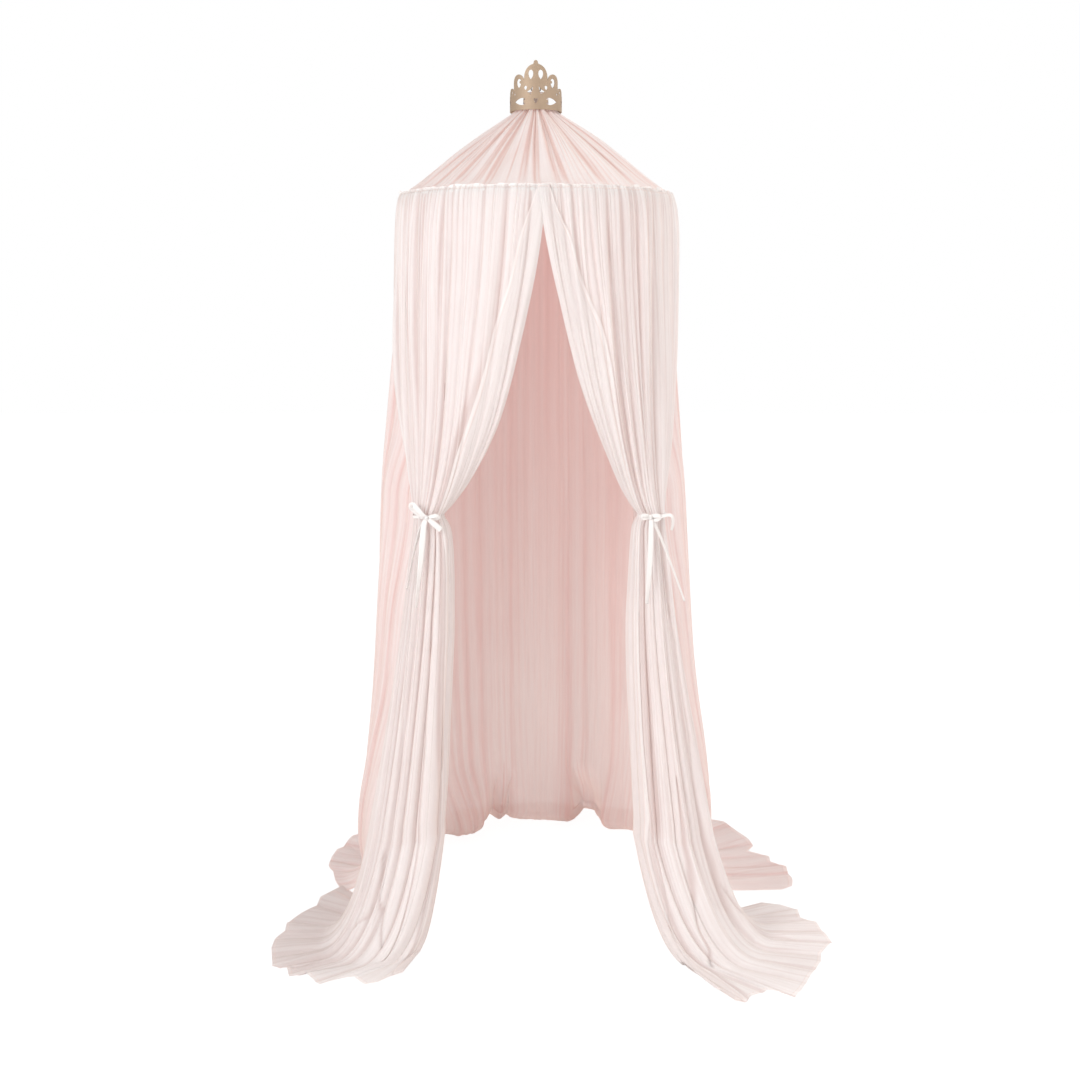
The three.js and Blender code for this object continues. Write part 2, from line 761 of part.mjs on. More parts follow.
// Solid that passes through the wall square to it at the outline's own middle
function pressed(shape, segments) {
  const points = shape.extractPoints(segments).shape;
  const low = Math.min(...points.map((point) => point.x));
  const high = Math.max(...points.map((point) => point.x));
  const middle = (low + high) / 2;
  const angle = middle / crown_radius;
  const chord = (point) => crown_radius * Math.sin((point.x - middle) / crown_radius);
  const outline = new THREE.Shape(points.map((point) => new THREE.Vector2(chord(point), point.y)));
  const nearest = crown_inner_radius * Math.cos((high - middle) / crown_radius) - cut_overrun;
  const depth = crown_radius + lap_offset + crown_wall + cut_overrun - nearest;
  const geometry = new THREE.ExtrudeGeometry(outline, { depth, bevelEnabled: false });
  const out = new THREE.Vector3(Math.sin(angle), -Math.cos(angle), 0);
  const across = new THREE.Vector3(Math.cos(angle), Math.sin(angle), 0);
  geometry.applyMatrix4(new THREE.Matrix4().makeBasis(across, new THREE.Vector3(0, 0, 1), out));
  geometry.translate(out.x * nearest, out.y * nearest, 0);
  return to_manifold(geometry);
}

function arched_panel(panel, side) {
  const centre = side * panel.place;
  const half = panel.half_width;
  const spring = Math.max(panel.crest - half * arch_spring_share, panel.crest / 2);
  const foot = spring - half * arch_foot_share;
  const shoulder = spring + half * arch_shoulder_share;
  const reach = half * arch_crest_share;
  const shape = new THREE.Shape();
  shape.moveTo(centre - half, 0);
  shape.lineTo(centre + half, 0);
  shape.lineTo(centre + half, foot);
  shape.bezierCurveTo(centre + half, shoulder, centre + reach, panel.crest, centre, panel.crest);
  shape.bezierCurveTo(centre - reach, panel.crest, centre - half, shoulder, centre - half, foot);
  return pressed(shape, outline_steps);
}

function teardrop(side, hole) {
  const x = side * hole.x;
  const wide = hole.half_width;
  const tall = hole.half_height;
  const shape = new THREE.Shape();
  const bulge = wide * drop_bulge_share;
  const belly = hole.z - tall * drop_belly_share;
  shape.moveTo(x, hole.z - tall);
  shape.bezierCurveTo(x + bulge, belly, x + wide, hole.z + tall, x, hole.z + tall);
  shape.bezierCurveTo(x - wide, hole.z + tall, x - bulge, belly, x, hole.z - tall);
  return pressed(shape, hole_steps);
}

// Almond with its point away from the front
function almond(side, hole) {
  const blunt = side * (hole.x - hole.half_width);
  const point = side * (hole.x + hole.half_width);
  const bend = side * (hole.x + hole.half_width * almond_bend_place_share);
  const blunt_height = hole.half_height * almond_blunt_share;
  const bend_height = hole.half_height * almond_bend_share;
  const shape = new THREE.Shape();
  shape.moveTo(blunt, hole.z);
  shape.bezierCurveTo(blunt, hole.z + blunt_height, bend, hole.z + bend_height, point, hole.z);
  shape.bezierCurveTo(bend, hole.z - bend_height, blunt, hole.z - blunt_height, blunt, hole.z);
  return pressed(shape, hole_steps + 1);
}

function disc(x, z, radius) {
  const shape = new THREE.Shape();
  shape.absarc(x, z, radius, 0, 2 * Math.PI);
  return pressed(shape, outline_steps);
}

// Round knob left standing in the blunt end of a cut-out, rooted in the wall beside it
function knob(side, hole, radius) {
  const root = side * (hole.x - hole.half_width + radius * knob_root_share);
  return disc(root, hole.knob_height, radius);
}

function leaf(side) {
  const shape = new THREE.Shape();
  shape.moveTo(side * leaf_tip.x, leaf_tip.z);
  shape.quadraticCurveTo(side * leaf_shoulder.x, leaf_shoulder.z, side * leaf_base.x, leaf_base.z);
  shape.lineTo(side * leaf_foot.x, leaf_foot.z);
  shape.quadraticCurveTo(side * leaf_heel.x, leaf_heel.z, side * leaf_tip.x, leaf_tip.z);
  return pressed(shape, leaf_steps);
}

// Round bud on the crest of the centre panel, with a flared foot
function finial() {
  const foot = centre_panel.crest - finial_root;
  const shape = new THREE.Shape();
  shape.moveTo(-finial_flare, foot);
  shape.lineTo(finial_flare, foot);
  shape.quadraticCurveTo(finial_radius, centre_panel.crest, finial_radius, finial_height);
  shape.absarc(0, finial_height, finial_radius, 0, Math.PI);
  shape.quadraticCurveTo(-finial_radius, centre_panel.crest, -finial_flare, foot);
  return pressed(shape, outline_steps);
}

function heart() {
  const swell = mix(heart_hole.low, heart_hole.high, heart_belly_share);
  const shape = new THREE.Shape();
  shape.moveTo(0, heart_hole.low);
  shape.quadraticCurveTo(heart_hole.half_width, swell, heart_hole.half_width, heart_hole.high);
  shape.lineTo(-heart_hole.half_width, heart_hole.high);
  shape.quadraticCurveTo(-heart_hole.half_width, swell, 0, heart_hole.low);
  return pressed(shape, hole_steps);
}

function side_cuts(side) {
  return [
    teardrop(side, teardrop_hole),
    teardrop(side, lozenge_hole),
    teardrop(side, crescent_hole).subtract(knob(side, crescent_hole, small_knob_radius)),
    almond(side, eye_hole).subtract(knob(side, eye_hole, large_knob_radius)),
    almond(side, side_eye_hole).subtract(knob(side, side_eye_hole, small_knob_radius)),
    teardrop(side, drop_hole),
    teardrop(side, third_hole),
    leaf(side),
  ];
}

const rivet_low = back_band_height / 2 - rivet_spacing / 2;
const rivet_levels = [rivet_low, rivet_low + rivet_spacing];
const rivet_hole_radius = rivet_radius + 1.5 * seat_gap;

function crown() {
  const panels = [arched_panel(centre_panel, 1), finial()];
  for (const side of [-1, 1]) {
    for (const panel of [second_panel, third_panel, side_panel]) {
      panels.push(arched_panel(panel, side));
    }
  }
  const cuts = [heart(), ...side_cuts(-1), ...side_cuts(1)];
  for (const level of rivet_levels) {
    cuts.push(disc(lap_middle, level, rivet_hole_radius));
  }
  const standing_panels = rolled_strip(crown_top).intersect(union_of(panels));
  const whole = standing_panels.add(rolled_strip(back_band_height)).subtract(union_of(cuts));
  return to_geometry(whole.translate([0, 0, crown_rim_height]));
}

// Rivet with a head on each side of the lap
function crown_rivet(number) {
  const inside = crown_radius - crown_wall / 2;
  const outside = crown_radius + crown_wall / 2 + lap_offset;
  const inner_seat = inside - seat_gap;
  const outer_seat = outside + seat_gap;
  const head_top = rivet_head_radius * rivet_head_top_share;
  const points = [
    new THREE.Vector2(0, inner_seat - rivet_head_height),
    new THREE.Vector2(head_top, inner_seat - rivet_head_height),
    new THREE.Vector2(rivet_head_radius, inner_seat),
    new THREE.Vector2(rivet_radius, inner_seat),
    new THREE.Vector2(rivet_radius, outer_seat),
    new THREE.Vector2(rivet_head_radius, outer_seat),
    new THREE.Vector2(head_top, outer_seat + rivet_head_height),
    new THREE.Vector2(0, outer_seat + rivet_head_height),
  ];
  const geometry = new THREE.LatheGeometry(points, rivet_sides);
  geometry.deleteAttribute("normal");
  geometry.deleteAttribute("uv");
  geometry.translate(0, 0, crown_rim_height + rivet_levels[number]);
  return facing_out(mergeVertices(geometry, weld_distance));
}

// Satin ties: a band round the waist, a knot, two flattened loops and two tails, one ribbon each

function strip_solid(path, width_way, width, thickness) {
  const grid = [[], []];
  path.forEach((point, k) => {
    const along = path[Math.min(path.length - 1, k + 1)].clone().sub(path[Math.max(0, k - 1)]).normalize();
    const wide = width_way.clone().addScaledVector(along, -width_way.dot(along)).normalize();
    grid[0].push(point.clone().addScaledVector(wide, width / 2));
    grid[1].push(point.clone().addScaledVector(wide, -width / 2));
  });
  return to_manifold(cloth_shell(grid, false, thickness));
}

function waist_band(side, waist) {
  const oval = (inset) => {
    const outline = new THREE.Shape();
    outline.absellipse(side * waist.x, waist.y, waist.half_width - inset, waist.half_depth - inset,
      0, 2 * Math.PI);
    return outline;
  };
  const shape = oval(0);
  shape.holes.push(oval(ribbon_thickness));
  const geometry = new THREE.ExtrudeGeometry(shape, {
    depth: ribbon_width,
    curveSegments: band_steps,
    bevelEnabled: false,
  });
  geometry.translate(0, 0, tie_height - ribbon_width / 2);
  return to_manifold(geometry);
}

function bow(side, waist, turn) {
  const facing = new THREE.Vector3(Math.sin(turn), -Math.cos(turn), 0);
  const sideways = new THREE.Vector3(Math.cos(turn), Math.sin(turn), 0);
  const up = new THREE.Vector3(0, 0, 1);
  const oval_reach = 1 / Math.hypot(facing.x / waist.half_width, facing.y / waist.half_depth);
  const knot = new THREE.Vector3(side * waist.x, waist.y, tie_height)
    .addScaledVector(facing, oval_reach + knot_radius / 2);
  const point_at = (across, rise, out) => knot.clone().addScaledVector(sideways, across)
    .addScaledVector(up, rise).addScaledVector(facing, out);
  const knot_geometry = new THREE.SphereGeometry(knot_radius, 12, 8);
  knot_geometry.scale(1, knot_depth_share, knot_height_share);
  knot_geometry.rotateZ(turn);
  knot_geometry.translate(knot.x, knot.y, knot.z);
  const solids = [to_manifold(knot_geometry)];
  for (const loop of [large_loop, small_loop]) {
    const angle = radians(loop.angle);
    const length = bow_loop_length * loop.length_share;
    const path = [];
    for (let k = 0; k <= bow_steps; k += 1) {
      const t = k / bow_steps * 2 * Math.PI;
      const along = length * (1 - Math.cos(t)) / 2;
      const out = bow_loop_height * Math.sin(t) / 2 + tail_stand_off * Math.sin(t / 2);
      path.push(point_at(along * Math.cos(angle), along * Math.sin(angle), out));
    }
    const wide = sideways.clone().multiplyScalar(-Math.sin(angle)).addScaledVector(up, Math.cos(angle));
    solids.push(strip_solid(path, wide, ribbon_width, ribbon_thickness));
  }
  for (const tail of [inner_tail, { ...outer_tail, lean_share: side * outer_tail.lean_share }]) {
    const path = [];
    for (let k = 0; k <= tail_steps; k += 1) {
      const fall = tail.length * k / tail_steps;
      const out = tail_stand_off * ease(4 * k / tail_steps) + fall * tail_slope_share;
      path.push(point_at(tail.lean_share * fall, -fall, out));
    }
    solids.push(strip_solid(path, sideways, ribbon_width, ribbon_thickness));
  }
  return union_of(solids);
}

function tie(side, waist, turn) {
  return to_geometry(waist_band(side, waist).add(bow(side, waist, turn)));
}

// Finishes: pale gathered net, satin, plated metal and plain plastic

const net = () => new THREE.MeshStandardMaterial({ color: 0xf0e1dc, roughness: 0.9, metalness: 0 });
const satin = () => new THREE.MeshStandardMaterial({ color: 0xfbf8f5, roughness: 0.4, metalness: 0 });
const tape = () => new THREE.MeshStandardMaterial({ color: 0xefe4dc, roughness: 0.85, metalness: 0 });
const pale_gold = () => new THREE.MeshStandardMaterial({ color: 0xc9a581, roughness: 0.35, metalness: 1 });
const steel = () => new THREE.MeshStandardMaterial({ color: 0xc8c8c8, roughness: 0.3, metalness: 1 });
const plastic = () => new THREE.MeshStandardMaterial({ color: 0xf4f2ee, roughness: 0.5, metalness: 0 });

const canopy = new THREE.Group();
const standing = new THREE.Group();
standing.position.set(0, 0, -hang_height);
canopy.add(standing);

function add_piece(name, geometry, material) {
  geometry.computeVertexNormals();
  const mesh = new THREE.Mesh(geometry, material);
  mesh.name = name;
  standing.add(mesh);
}

add_piece("cone_top", cone(), net());
add_piece("left_curtain", front_curtain(-1, left_waist, left_foot, left_train), net());
add_piece("right_curtain", front_curtain(1, right_waist, right_foot, right_train), net());
add_piece("back_curtain", back_curtain(), net());
add_piece("hoop_casing", hoop_casing(), tape());
for (let number = 0; number < hoop_sections; number += 1) {
  add_piece(`hoop_section_${number + 1}`, hoop_section(number), plastic());
  add_piece(`hoop_sleeve_${number + 1}`, hoop_sleeve(number), plastic());
}
add_piece("neck_binding", neck_binding(), tape());
add_piece("webbing_loop", webbing_loop(), tape());
add_piece("hang_ring", hang_ring(), steel());
add_piece("crown", crown(), pale_gold());
rivet_levels.forEach((level, number) => {
  add_piece(`crown_rivet_${number + 1}`, crown_rivet(number), pale_gold());
});
add_piece("left_tie", tie(-1, left_waist, radians(left_bow_turn)), satin());
add_piece("right_tie", tie(1, right_waist, radians(right_bow_turn)), satin());

export default canopy;
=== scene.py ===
import math

import bpy
import numpy as np
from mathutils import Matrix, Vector


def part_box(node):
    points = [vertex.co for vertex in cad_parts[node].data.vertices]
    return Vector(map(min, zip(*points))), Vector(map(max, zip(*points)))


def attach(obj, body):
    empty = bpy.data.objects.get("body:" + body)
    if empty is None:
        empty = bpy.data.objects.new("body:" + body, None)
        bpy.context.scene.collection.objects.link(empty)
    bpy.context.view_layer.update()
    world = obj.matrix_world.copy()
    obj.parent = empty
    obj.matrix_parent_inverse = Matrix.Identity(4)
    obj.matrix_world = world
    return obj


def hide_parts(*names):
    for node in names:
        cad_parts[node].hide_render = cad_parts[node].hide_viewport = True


# A bed crown canopy: gathered net over a hoop, two tied front curtains, a back curtain and a
# pierced gold crown. Metres, in the frame's own axes. Inside the cloth functions heights are
# measured from the floor, and cloth() lowers the finished points to the frame.

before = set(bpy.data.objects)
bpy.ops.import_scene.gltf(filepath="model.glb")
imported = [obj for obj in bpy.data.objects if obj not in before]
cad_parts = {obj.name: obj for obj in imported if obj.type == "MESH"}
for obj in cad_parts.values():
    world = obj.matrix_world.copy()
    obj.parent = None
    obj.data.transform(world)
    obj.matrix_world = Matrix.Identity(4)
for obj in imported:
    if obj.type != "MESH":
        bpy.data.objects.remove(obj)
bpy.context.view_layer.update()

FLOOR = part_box("back_curtain")[0][2]
casing_low, casing_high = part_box("hoop_casing")
binding_low, binding_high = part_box("neck_binding")
crown_low, crown_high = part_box("crown")

CASING_REACH = casing_high[0]
CASING_HALF = (casing_high[2] - casing_low[2]) / 2
HOOP_HEIGHT = (casing_high[2] + casing_low[2]) / 2 - FLOOR
HOOP_RADIUS = CASING_REACH - CASING_HALF
CROWN_RIM = crown_low[2] - FLOOR
CROWN_RADIUS = crown_high[0]
NECK_HEIGHT = (binding_low[2] + binding_high[2]) / 2 - FLOOR
NECK_RADIUS = 0.0245
TIE_HEIGHT = 0.963
SWEEP_HEIGHT = 0.25

LEFT = -1
RIGHT = 1


# Plain helpers

def mix(a, b, share):
    return a + (b - a) * share


def ease(share):
    t = np.clip(share, 0.0, 1.0)
    return t * t * (3 - 2 * t)


def through(places, values, at):
    """Smooth curve through values at rising places; it never swings past them."""
    places = np.asarray(places, float)
    values = np.asarray(values, float)
    span = np.diff(places)
    slope = np.diff(values) / span
    before, after = slope[:-1], slope[1:]
    both = before + after
    inner = np.where(before * after > 0, 2 * before * after / np.where(both == 0, 1, both), 0)
    slopes = np.concatenate([[slope[0]], inner, [slope[-1]]])
    x = np.clip(at, places[0], places[-1])
    k = np.clip(np.searchsorted(places, x, side="right") - 1, 0, len(span) - 1)
    t = (x - places[k]) / span[k]
    rise = values[k + 1] - values[k]
    start, end = slopes[k] * span[k], slopes[k + 1] * span[k]
    return values[k] + t * start + t**2 * (3 * rise - 2 * start - end) + t**3 * (start + end - 2 * rise)


def wander(seed, terms, across, down=0.0, turns=0.5):
    """Repeatable smooth wandering, mostly between -1 and 1, across a cloth and down it."""
    draw = np.random.default_rng(seed)
    total, power = 0.0, 0.0
    for term in range(1, terms + 1):
        weight = draw.uniform(0.5, 1.0) / math.sqrt(term)
        phase = draw.uniform(0, 2 * math.pi)
        lean = draw.uniform(-1.2, 1.2)
        total = total + weight * np.cos(2 * math.pi * (turns * term * across + lean * down) + phase)
        power += weight * weight
    return total / math.sqrt(power)


def wander_round(seed, terms, around, down=0.0):
    """Wandering that closes on itself after one turn."""
    return wander(seed, terms, around, down, turns=1)


def stack(x, y, z):
    return np.stack(np.broadcast_arrays(x, y, z), axis=-1)


def unit(vectors):
    return vectors / np.maximum(np.linalg.norm(vectors, axis=-1, keepdims=True), 1e-12)


# Folds: a row of rounded crests with narrower creases between them

def fold_shapes(share, size, lean, blunt, overhang):
    """Lift and slide of folds between two creases, where share is 0 and 1."""
    arch = np.sin(math.pi * share) ** blunt
    return size * arch, size * (lean * arch + overhang * np.sin(2 * math.pi * share))


def gathers(p, place, count, seed, depth, uneven=0.55, drift=0.3, lean=0.5, fading=0.7, closed=False):
    """Folds of very uneven width: each has its own height and its own lean, dies out and comes
    back on its way down. Gives lift, slide and how near a crease the cloth is."""
    draw = np.random.default_rng(seed)
    widths = np.exp(uneven * draw.normal(size=count))
    ends = np.concatenate([[0], np.cumsum(widths)]) / widths.sum()
    sizes = (widths / widths.mean()) ** 0.55 * draw.uniform(0.7, 1.2, count)
    leans = draw.uniform(-lean, lean, count)
    blunts = draw.uniform(0.4, 0.9, count)
    rates = draw.uniform(0.35, 1.1, count)
    starts = draw.uniform(0, 1, count)
    noise = wander_round if closed else wander
    shift = drift / count * noise(seed + 1, 5, p, 0.5 * place)
    at = (p + shift) % 1.0 if closed else np.clip((p + shift + 0.05) / 1.1, 0, 1)
    fold = np.clip(np.searchsorted(ends, at, side="right") - 1, 0, count - 1)
    width = ends[fold + 1] - ends[fold]
    share = np.clip((at - ends[fold]) / width, 0, 1)
    life = 1 - fading * (0.5 - 0.5 * np.cos(2 * math.pi * (rates[fold] * place + starts[fold])))
    size = depth * sizes[fold] * life
    lift, slide = fold_shapes(share, 1.6 * size, leans[fold], blunts[fold], 0.2)
    nearness = np.minimum(share, 1 - share) * width * count
    return lift - 0.8 * depth, slide, np.exp(-(nearness / 0.14) ** 2) * np.minimum(life * 1.2, 1)


def laps(p, place, creases, strengths, seed, depth, lean=1.25, overhang=0.2):
    """Larger folds between given creases; each crest leans over the crease outward of it, and
    the strengths say how deep the fold before each crease is."""
    number = np.interp(p, creases, np.arange(len(creases)))
    fold = np.minimum(number.astype(int), len(creases) - 2)
    share = number - fold
    draw = np.random.default_rng(seed)
    starts = draw.uniform(0, 1, len(creases))
    sizes = np.array(strengths)
    life = 0.85 + 0.15 * np.cos(2 * math.pi * (0.8 * place + starts[fold]))
    size = depth * sizes[fold + 1] * life * (1 + 0.2 * wander(seed + 1, 5, p, 0.5 * place))
    lift, slide = fold_shapes(share, 1.7 * size, lean / 1.7, 0.5, overhang / 1.7)
    near = np.where(share > 0.5, 1 - share, share) * np.diff(creases)[fold]
    beyond = np.where(share > 0.5, sizes[fold + 1], sizes[fold])
    return lift - 0.6 * depth, slide, np.exp(-(near / 0.009) ** 2) * np.minimum(beyond, 1.2) / 1.2


def furrows(p, place, lines):
    """Single creases: places down the cloth, places across it, half widths and strength. The
    side towards the leading edge is the sharper one."""
    deepest = np.zeros(np.broadcast(p, place).shape)
    for down, across, widths, strength in lines:
        off = p - through(down, across, place)
        width = through(down, widths, place) * np.where(off < 0, 0.5, 1.0)
        inside = (place > down[0]) & (place < down[-1])
        deepest = np.maximum(deepest, np.where(inside, strength * np.exp(-(off / width) ** 2), 0))
    return deepest


def laid(base, p, place, lift, slide, facing):
    """Grid of points: the smooth base surface, lifted off it and moved along it by its folds."""
    probe = 1e-3
    side = base(p + probe, place) - base(p - probe, place)
    fall = base(p, place + probe) - base(p, place - probe)
    normal = unit(np.cross(side, fall)) * facing
    return base(p, place) + normal * lift[..., None] + unit(side) * slide[..., None]


def valleys(lift, depth):
    """0 on the crests and 1 in the creases."""
    return np.clip(0.5 - 0.5 * lift / np.maximum(depth, 1e-5), 0, 1)


# Meshes

# Least height of cloth over the floor, the crease share of plain cloth, and the distance to a
# side edge where there is none
LIFTED = 0.0008
PLAIN_CREASE = 0.3
NO_EDGE = 1.0


def cloth(name, points, flat, closed=False, turned=False, rest=LIFTED, crease=None):
    """Mesh of a grid of points above the floor, with its weave laid out in metres, the distance
    to its nearest cut edge kept for the hem, and how deep each point lies in its folds, kept as the crease
    share that the net paints as fold shade."""
    rows, columns = points.shape[:2]
    points = points.copy()
    points[..., 2] = np.maximum(points[..., 2], rest)
    spans = columns if closed else columns - 1
    i, j = np.meshgrid(np.arange(rows - 1), np.arange(spans), indexing="ij")
    there = (j + 1) % columns
    corners = [i * columns + j, i * columns + there, (i + 1) * columns + there, (i + 1) * columns + j]
    if turned:
        corners = corners[::-1]
    faces = np.stack(corners, axis=-1).reshape(-1, 4)
    width, length = flat
    step = np.linalg.norm(np.diff(points, axis=0), axis=-1).mean(axis=1)
    fallen = np.concatenate([[0], np.cumsum(step)]) / step.sum() * length
    u_low, u_high = j / spans * width, (j + 1) / spans * width
    v_low, v_high = fallen[i], fallen[i + 1]
    layout = [(u_low, v_low), (u_high, v_low), (u_high, v_high), (u_low, v_high)]
    if turned:
        layout = layout[::-1]
    layout = np.stack([np.stack(pair, axis=-1) for pair in layout], axis=2).reshape(-1, 2)
    across = np.arange(columns) / spans * width
    to_side = np.full(columns, NO_EDGE) if closed else np.minimum(across, width - across)
    to_end = np.minimum(fallen, length - fallen)
    hem = np.minimum(to_side[None, :], to_end[:, None])
    mesh = bpy.data.meshes.new(name)
    vertices = points.reshape(-1, 3) + np.array([0, 0, FLOOR])
    mesh.vertices.add(len(vertices))
    mesh.vertices.foreach_set("co", vertices.ravel())
    mesh.loops.add(faces.size)
    mesh.loops.foreach_set("vertex_index", faces.ravel())
    mesh.polygons.add(len(faces))
    mesh.polygons.foreach_set("loop_start", np.arange(len(faces)) * 4)
    mesh.update(calc_edges=True)
    mesh.uv_layers.new(name="weave").data.foreach_set("uv", layout.ravel())
    depth = np.broadcast_to(PLAIN_CREASE if crease is None else crease, (rows, columns))
    for label, values in (("hem", hem), ("crease", depth)):
        layer = mesh.attributes.new(label, "FLOAT", "POINT")
        layer.data.foreach_set("value", np.ascontiguousarray(values, float).ravel())
    mesh.polygons.foreach_set("use_smooth", np.ones(len(faces), bool))
    mesh.validate()
    piece = bpy.data.objects.new(name, mesh)
    bpy.context.collection.objects.link(piece)
    return piece


def dress(piece, material):
    piece.data.materials.clear()
    piece.data.materials.append(material)


def finish_piece(piece, material, body, cad_node):
    dress(piece, material)
    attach(piece, body)
    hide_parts(cad_node)


# Shader helpers

def material_with(name):
    material = bpy.data.materials.new(name)
    material.use_nodes = True
    tree = material.node_tree
    tree.nodes.clear()
    return material, tree


def node(tree, kind, inputs=None, **settings):
    made = tree.nodes.new(kind)
    for key, value in settings.items():
        setattr(made, key, value)
    for key, value in (inputs or {}).items():
        if isinstance(value, bpy.types.NodeSocket):
            tree.links.new(value, made.inputs[key])
        else:
            made.inputs[key].default_value = value
    return made


def group_with(name, inputs, outputs):
    """Empty shader group with named sockets: (name, kind, default) in, (name, kind) out."""
    tree = bpy.data.node_groups.new(name, "ShaderNodeTree")
    for label, kind, default in inputs:
        socket = tree.interface.new_socket(label, in_out="INPUT", socket_type=kind)
        if default is not None:
            socket.default_value = default
    for label, kind in outputs:
        tree.interface.new_socket(label, in_out="OUTPUT", socket_type=kind)
    return tree, tree.nodes.new("NodeGroupInput"), tree.nodes.new("NodeGroupOutput")


def maths(tree, operation, first, second=0.0, third=0.0):
    return node(tree, "ShaderNodeMath", {0: first, 1: second, 2: third}, operation=operation).outputs[0]


def blend(tree, share, first, second, **settings):
    mixed = node(tree, "ShaderNodeMix", {"Factor": share}, data_type="RGBA", **settings)
    for socket, value in ((mixed.inputs[6], first), (mixed.inputs[7], second)):
        if isinstance(value, bpy.types.NodeSocket):
            tree.links.new(value, socket)
        else:
            socket.default_value = value
    return mixed.outputs[2]


# Net: a fine knitted mesh, with soft creases down it and a rolled hem along its cut edges

STITCH_HALF_WIDTH = 0.0014
STITCH_LENGTH = 0.006
# Light that passes through the net, what of it is seen straight through, and the share of the
# net's face that its holes take up
THROUGH_SHARE = 0.40
OPEN_SHARE = 0.08
HOLES_SHARE = 0.405
# How much of the slubs shows, and what keeps their mean near nothing
SLUB_SHARE = 0.16
SLUB_MEAN = 0.06


def weave_group():
    tree, given, result = group_with(
        "net weave",
        [("Layout", "NodeSocketVector", None), ("Mesh per metre", "NodeSocketFloat", 620.0),
         ("Creases per metre", "NodeSocketFloat", 150.0), ("Hem width", "NodeSocketFloat", 0.009)],
        [("Threads", "NodeSocketFloat"), ("Creases", "NodeSocketFloat"), ("Hem", "NodeSocketFloat"),
         ("Stitches", "NodeSocketFloat"), ("Slubs", "NodeSocketFloat"), ("Bands", "NodeSocketFloat")])
    layout = given.outputs["Layout"]
    parts = node(tree, "ShaderNodeSeparateXYZ", {0: layout})
    turn = maths(tree, "MULTIPLY", given.outputs["Mesh per metre"], math.pi)
    rising = maths(tree, "MULTIPLY", maths(tree, "ADD", parts.outputs[0], parts.outputs[1]), turn)
    falling = maths(tree, "MULTIPLY", maths(tree, "SUBTRACT", parts.outputs[0], parts.outputs[1]), turn)
    first = maths(tree, "ABSOLUTE", maths(tree, "SINE", rising))
    second = maths(tree, "ABSOLUTE", maths(tree, "SINE", falling))
    threads = maths(tree, "SUBTRACT", 1.0, maths(tree, "MULTIPLY", first, second))
    tree.links.new(threads, result.inputs["Threads"])
    stretch = node(tree, "ShaderNodeMapping", {"Vector": layout, "Scale": (1.0, 0.035, 1.0)})
    crease = node(tree, "ShaderNodeTexNoise", {
        "Vector": stretch.outputs[0], "Scale": given.outputs["Creases per metre"], "Detail": 3.0,
        "Roughness": 0.6})
    tree.links.new(crease.outputs[0], result.inputs["Creases"])
    slub = node(tree, "ShaderNodeTexNoise", {
        "Vector": layout, "Scale": 9.0, "Detail": 4.0, "Roughness": 0.62})
    tree.links.new(slub.outputs[0], result.inputs["Slubs"])
    fallen = node(tree, "ShaderNodeMapping", {"Vector": layout, "Scale": (1.0, 0.02, 1.0)})
    lit_bands = node(tree, "ShaderNodeTexNoise", {"Vector": fallen.outputs[0], "Scale": 34.0, "Detail": 2.0})
    tree.links.new(lit_bands.outputs[0], result.inputs["Bands"])
    edge = node(tree, "ShaderNodeAttribute", attribute_name="hem").outputs["Fac"]
    inside = maths(tree, "LESS_THAN", edge, given.outputs["Hem width"])
    tree.links.new(inside, result.inputs["Hem"])
    off_line = maths(tree, "ABSOLUTE", maths(tree, "SUBTRACT", edge, given.outputs["Hem width"]))
    on_line = maths(tree, "LESS_THAN", off_line, STITCH_HALF_WIDTH)
    along = maths(tree, "ADD", parts.outputs[0], parts.outputs[1])
    turned = maths(tree, "MULTIPLY", along, 2 * math.pi / STITCH_LENGTH)
    beat = maths(tree, "GREATER_THAN", maths(tree, "SINE", turned), 0.0)
    tree.links.new(maths(tree, "MULTIPLY", on_line, beat), result.inputs["Stitches"])
    return tree


NET_PALE_HIGH = (0.96, 0.97, 0.97, 1)
NET_PALE_LOW = (0.955, 0.925, 0.92, 1)
# Painted shade of the canopy's inside, on the nets' back faces: darker and pinker near the top, paler lower
# down
NET_INSIDE_SHADE_HIGH = (0.80, 0.54, 0.515, 1)
NET_INSIDE_SHADE_LOW = (0.865, 0.78, 0.755, 1)
NET_GREYED = (0.85, 0.80, 0.79, 1)
NET_EDGE_ON = (0.90, 0.79, 0.72, 1)
NET_SEAM = (0.84, 0.68, 0.63, 1)
NET_HEM = (0.98, 0.965, 0.955, 1)
# Fold colours that the crease share blends in: painted shade in the creases, together with the pinker look of
# net lying in layers there
FRONT_FOLD_LAYERS_AND_SHADE = (0.71, 0.59, 0.57, 1)
CONE_FOLD_LAYERS_AND_SHADE = (0.82, 0.64, 0.60, 1)
BACK_FOLD_LAYERS_AND_SHADE = (0.80, 0.56, 0.53, 1)
FRONT_THROUGH = (0.92, 0.895, 0.88, 1)
BACK_THROUGH = (0.92, 0.75, 0.71, 1)


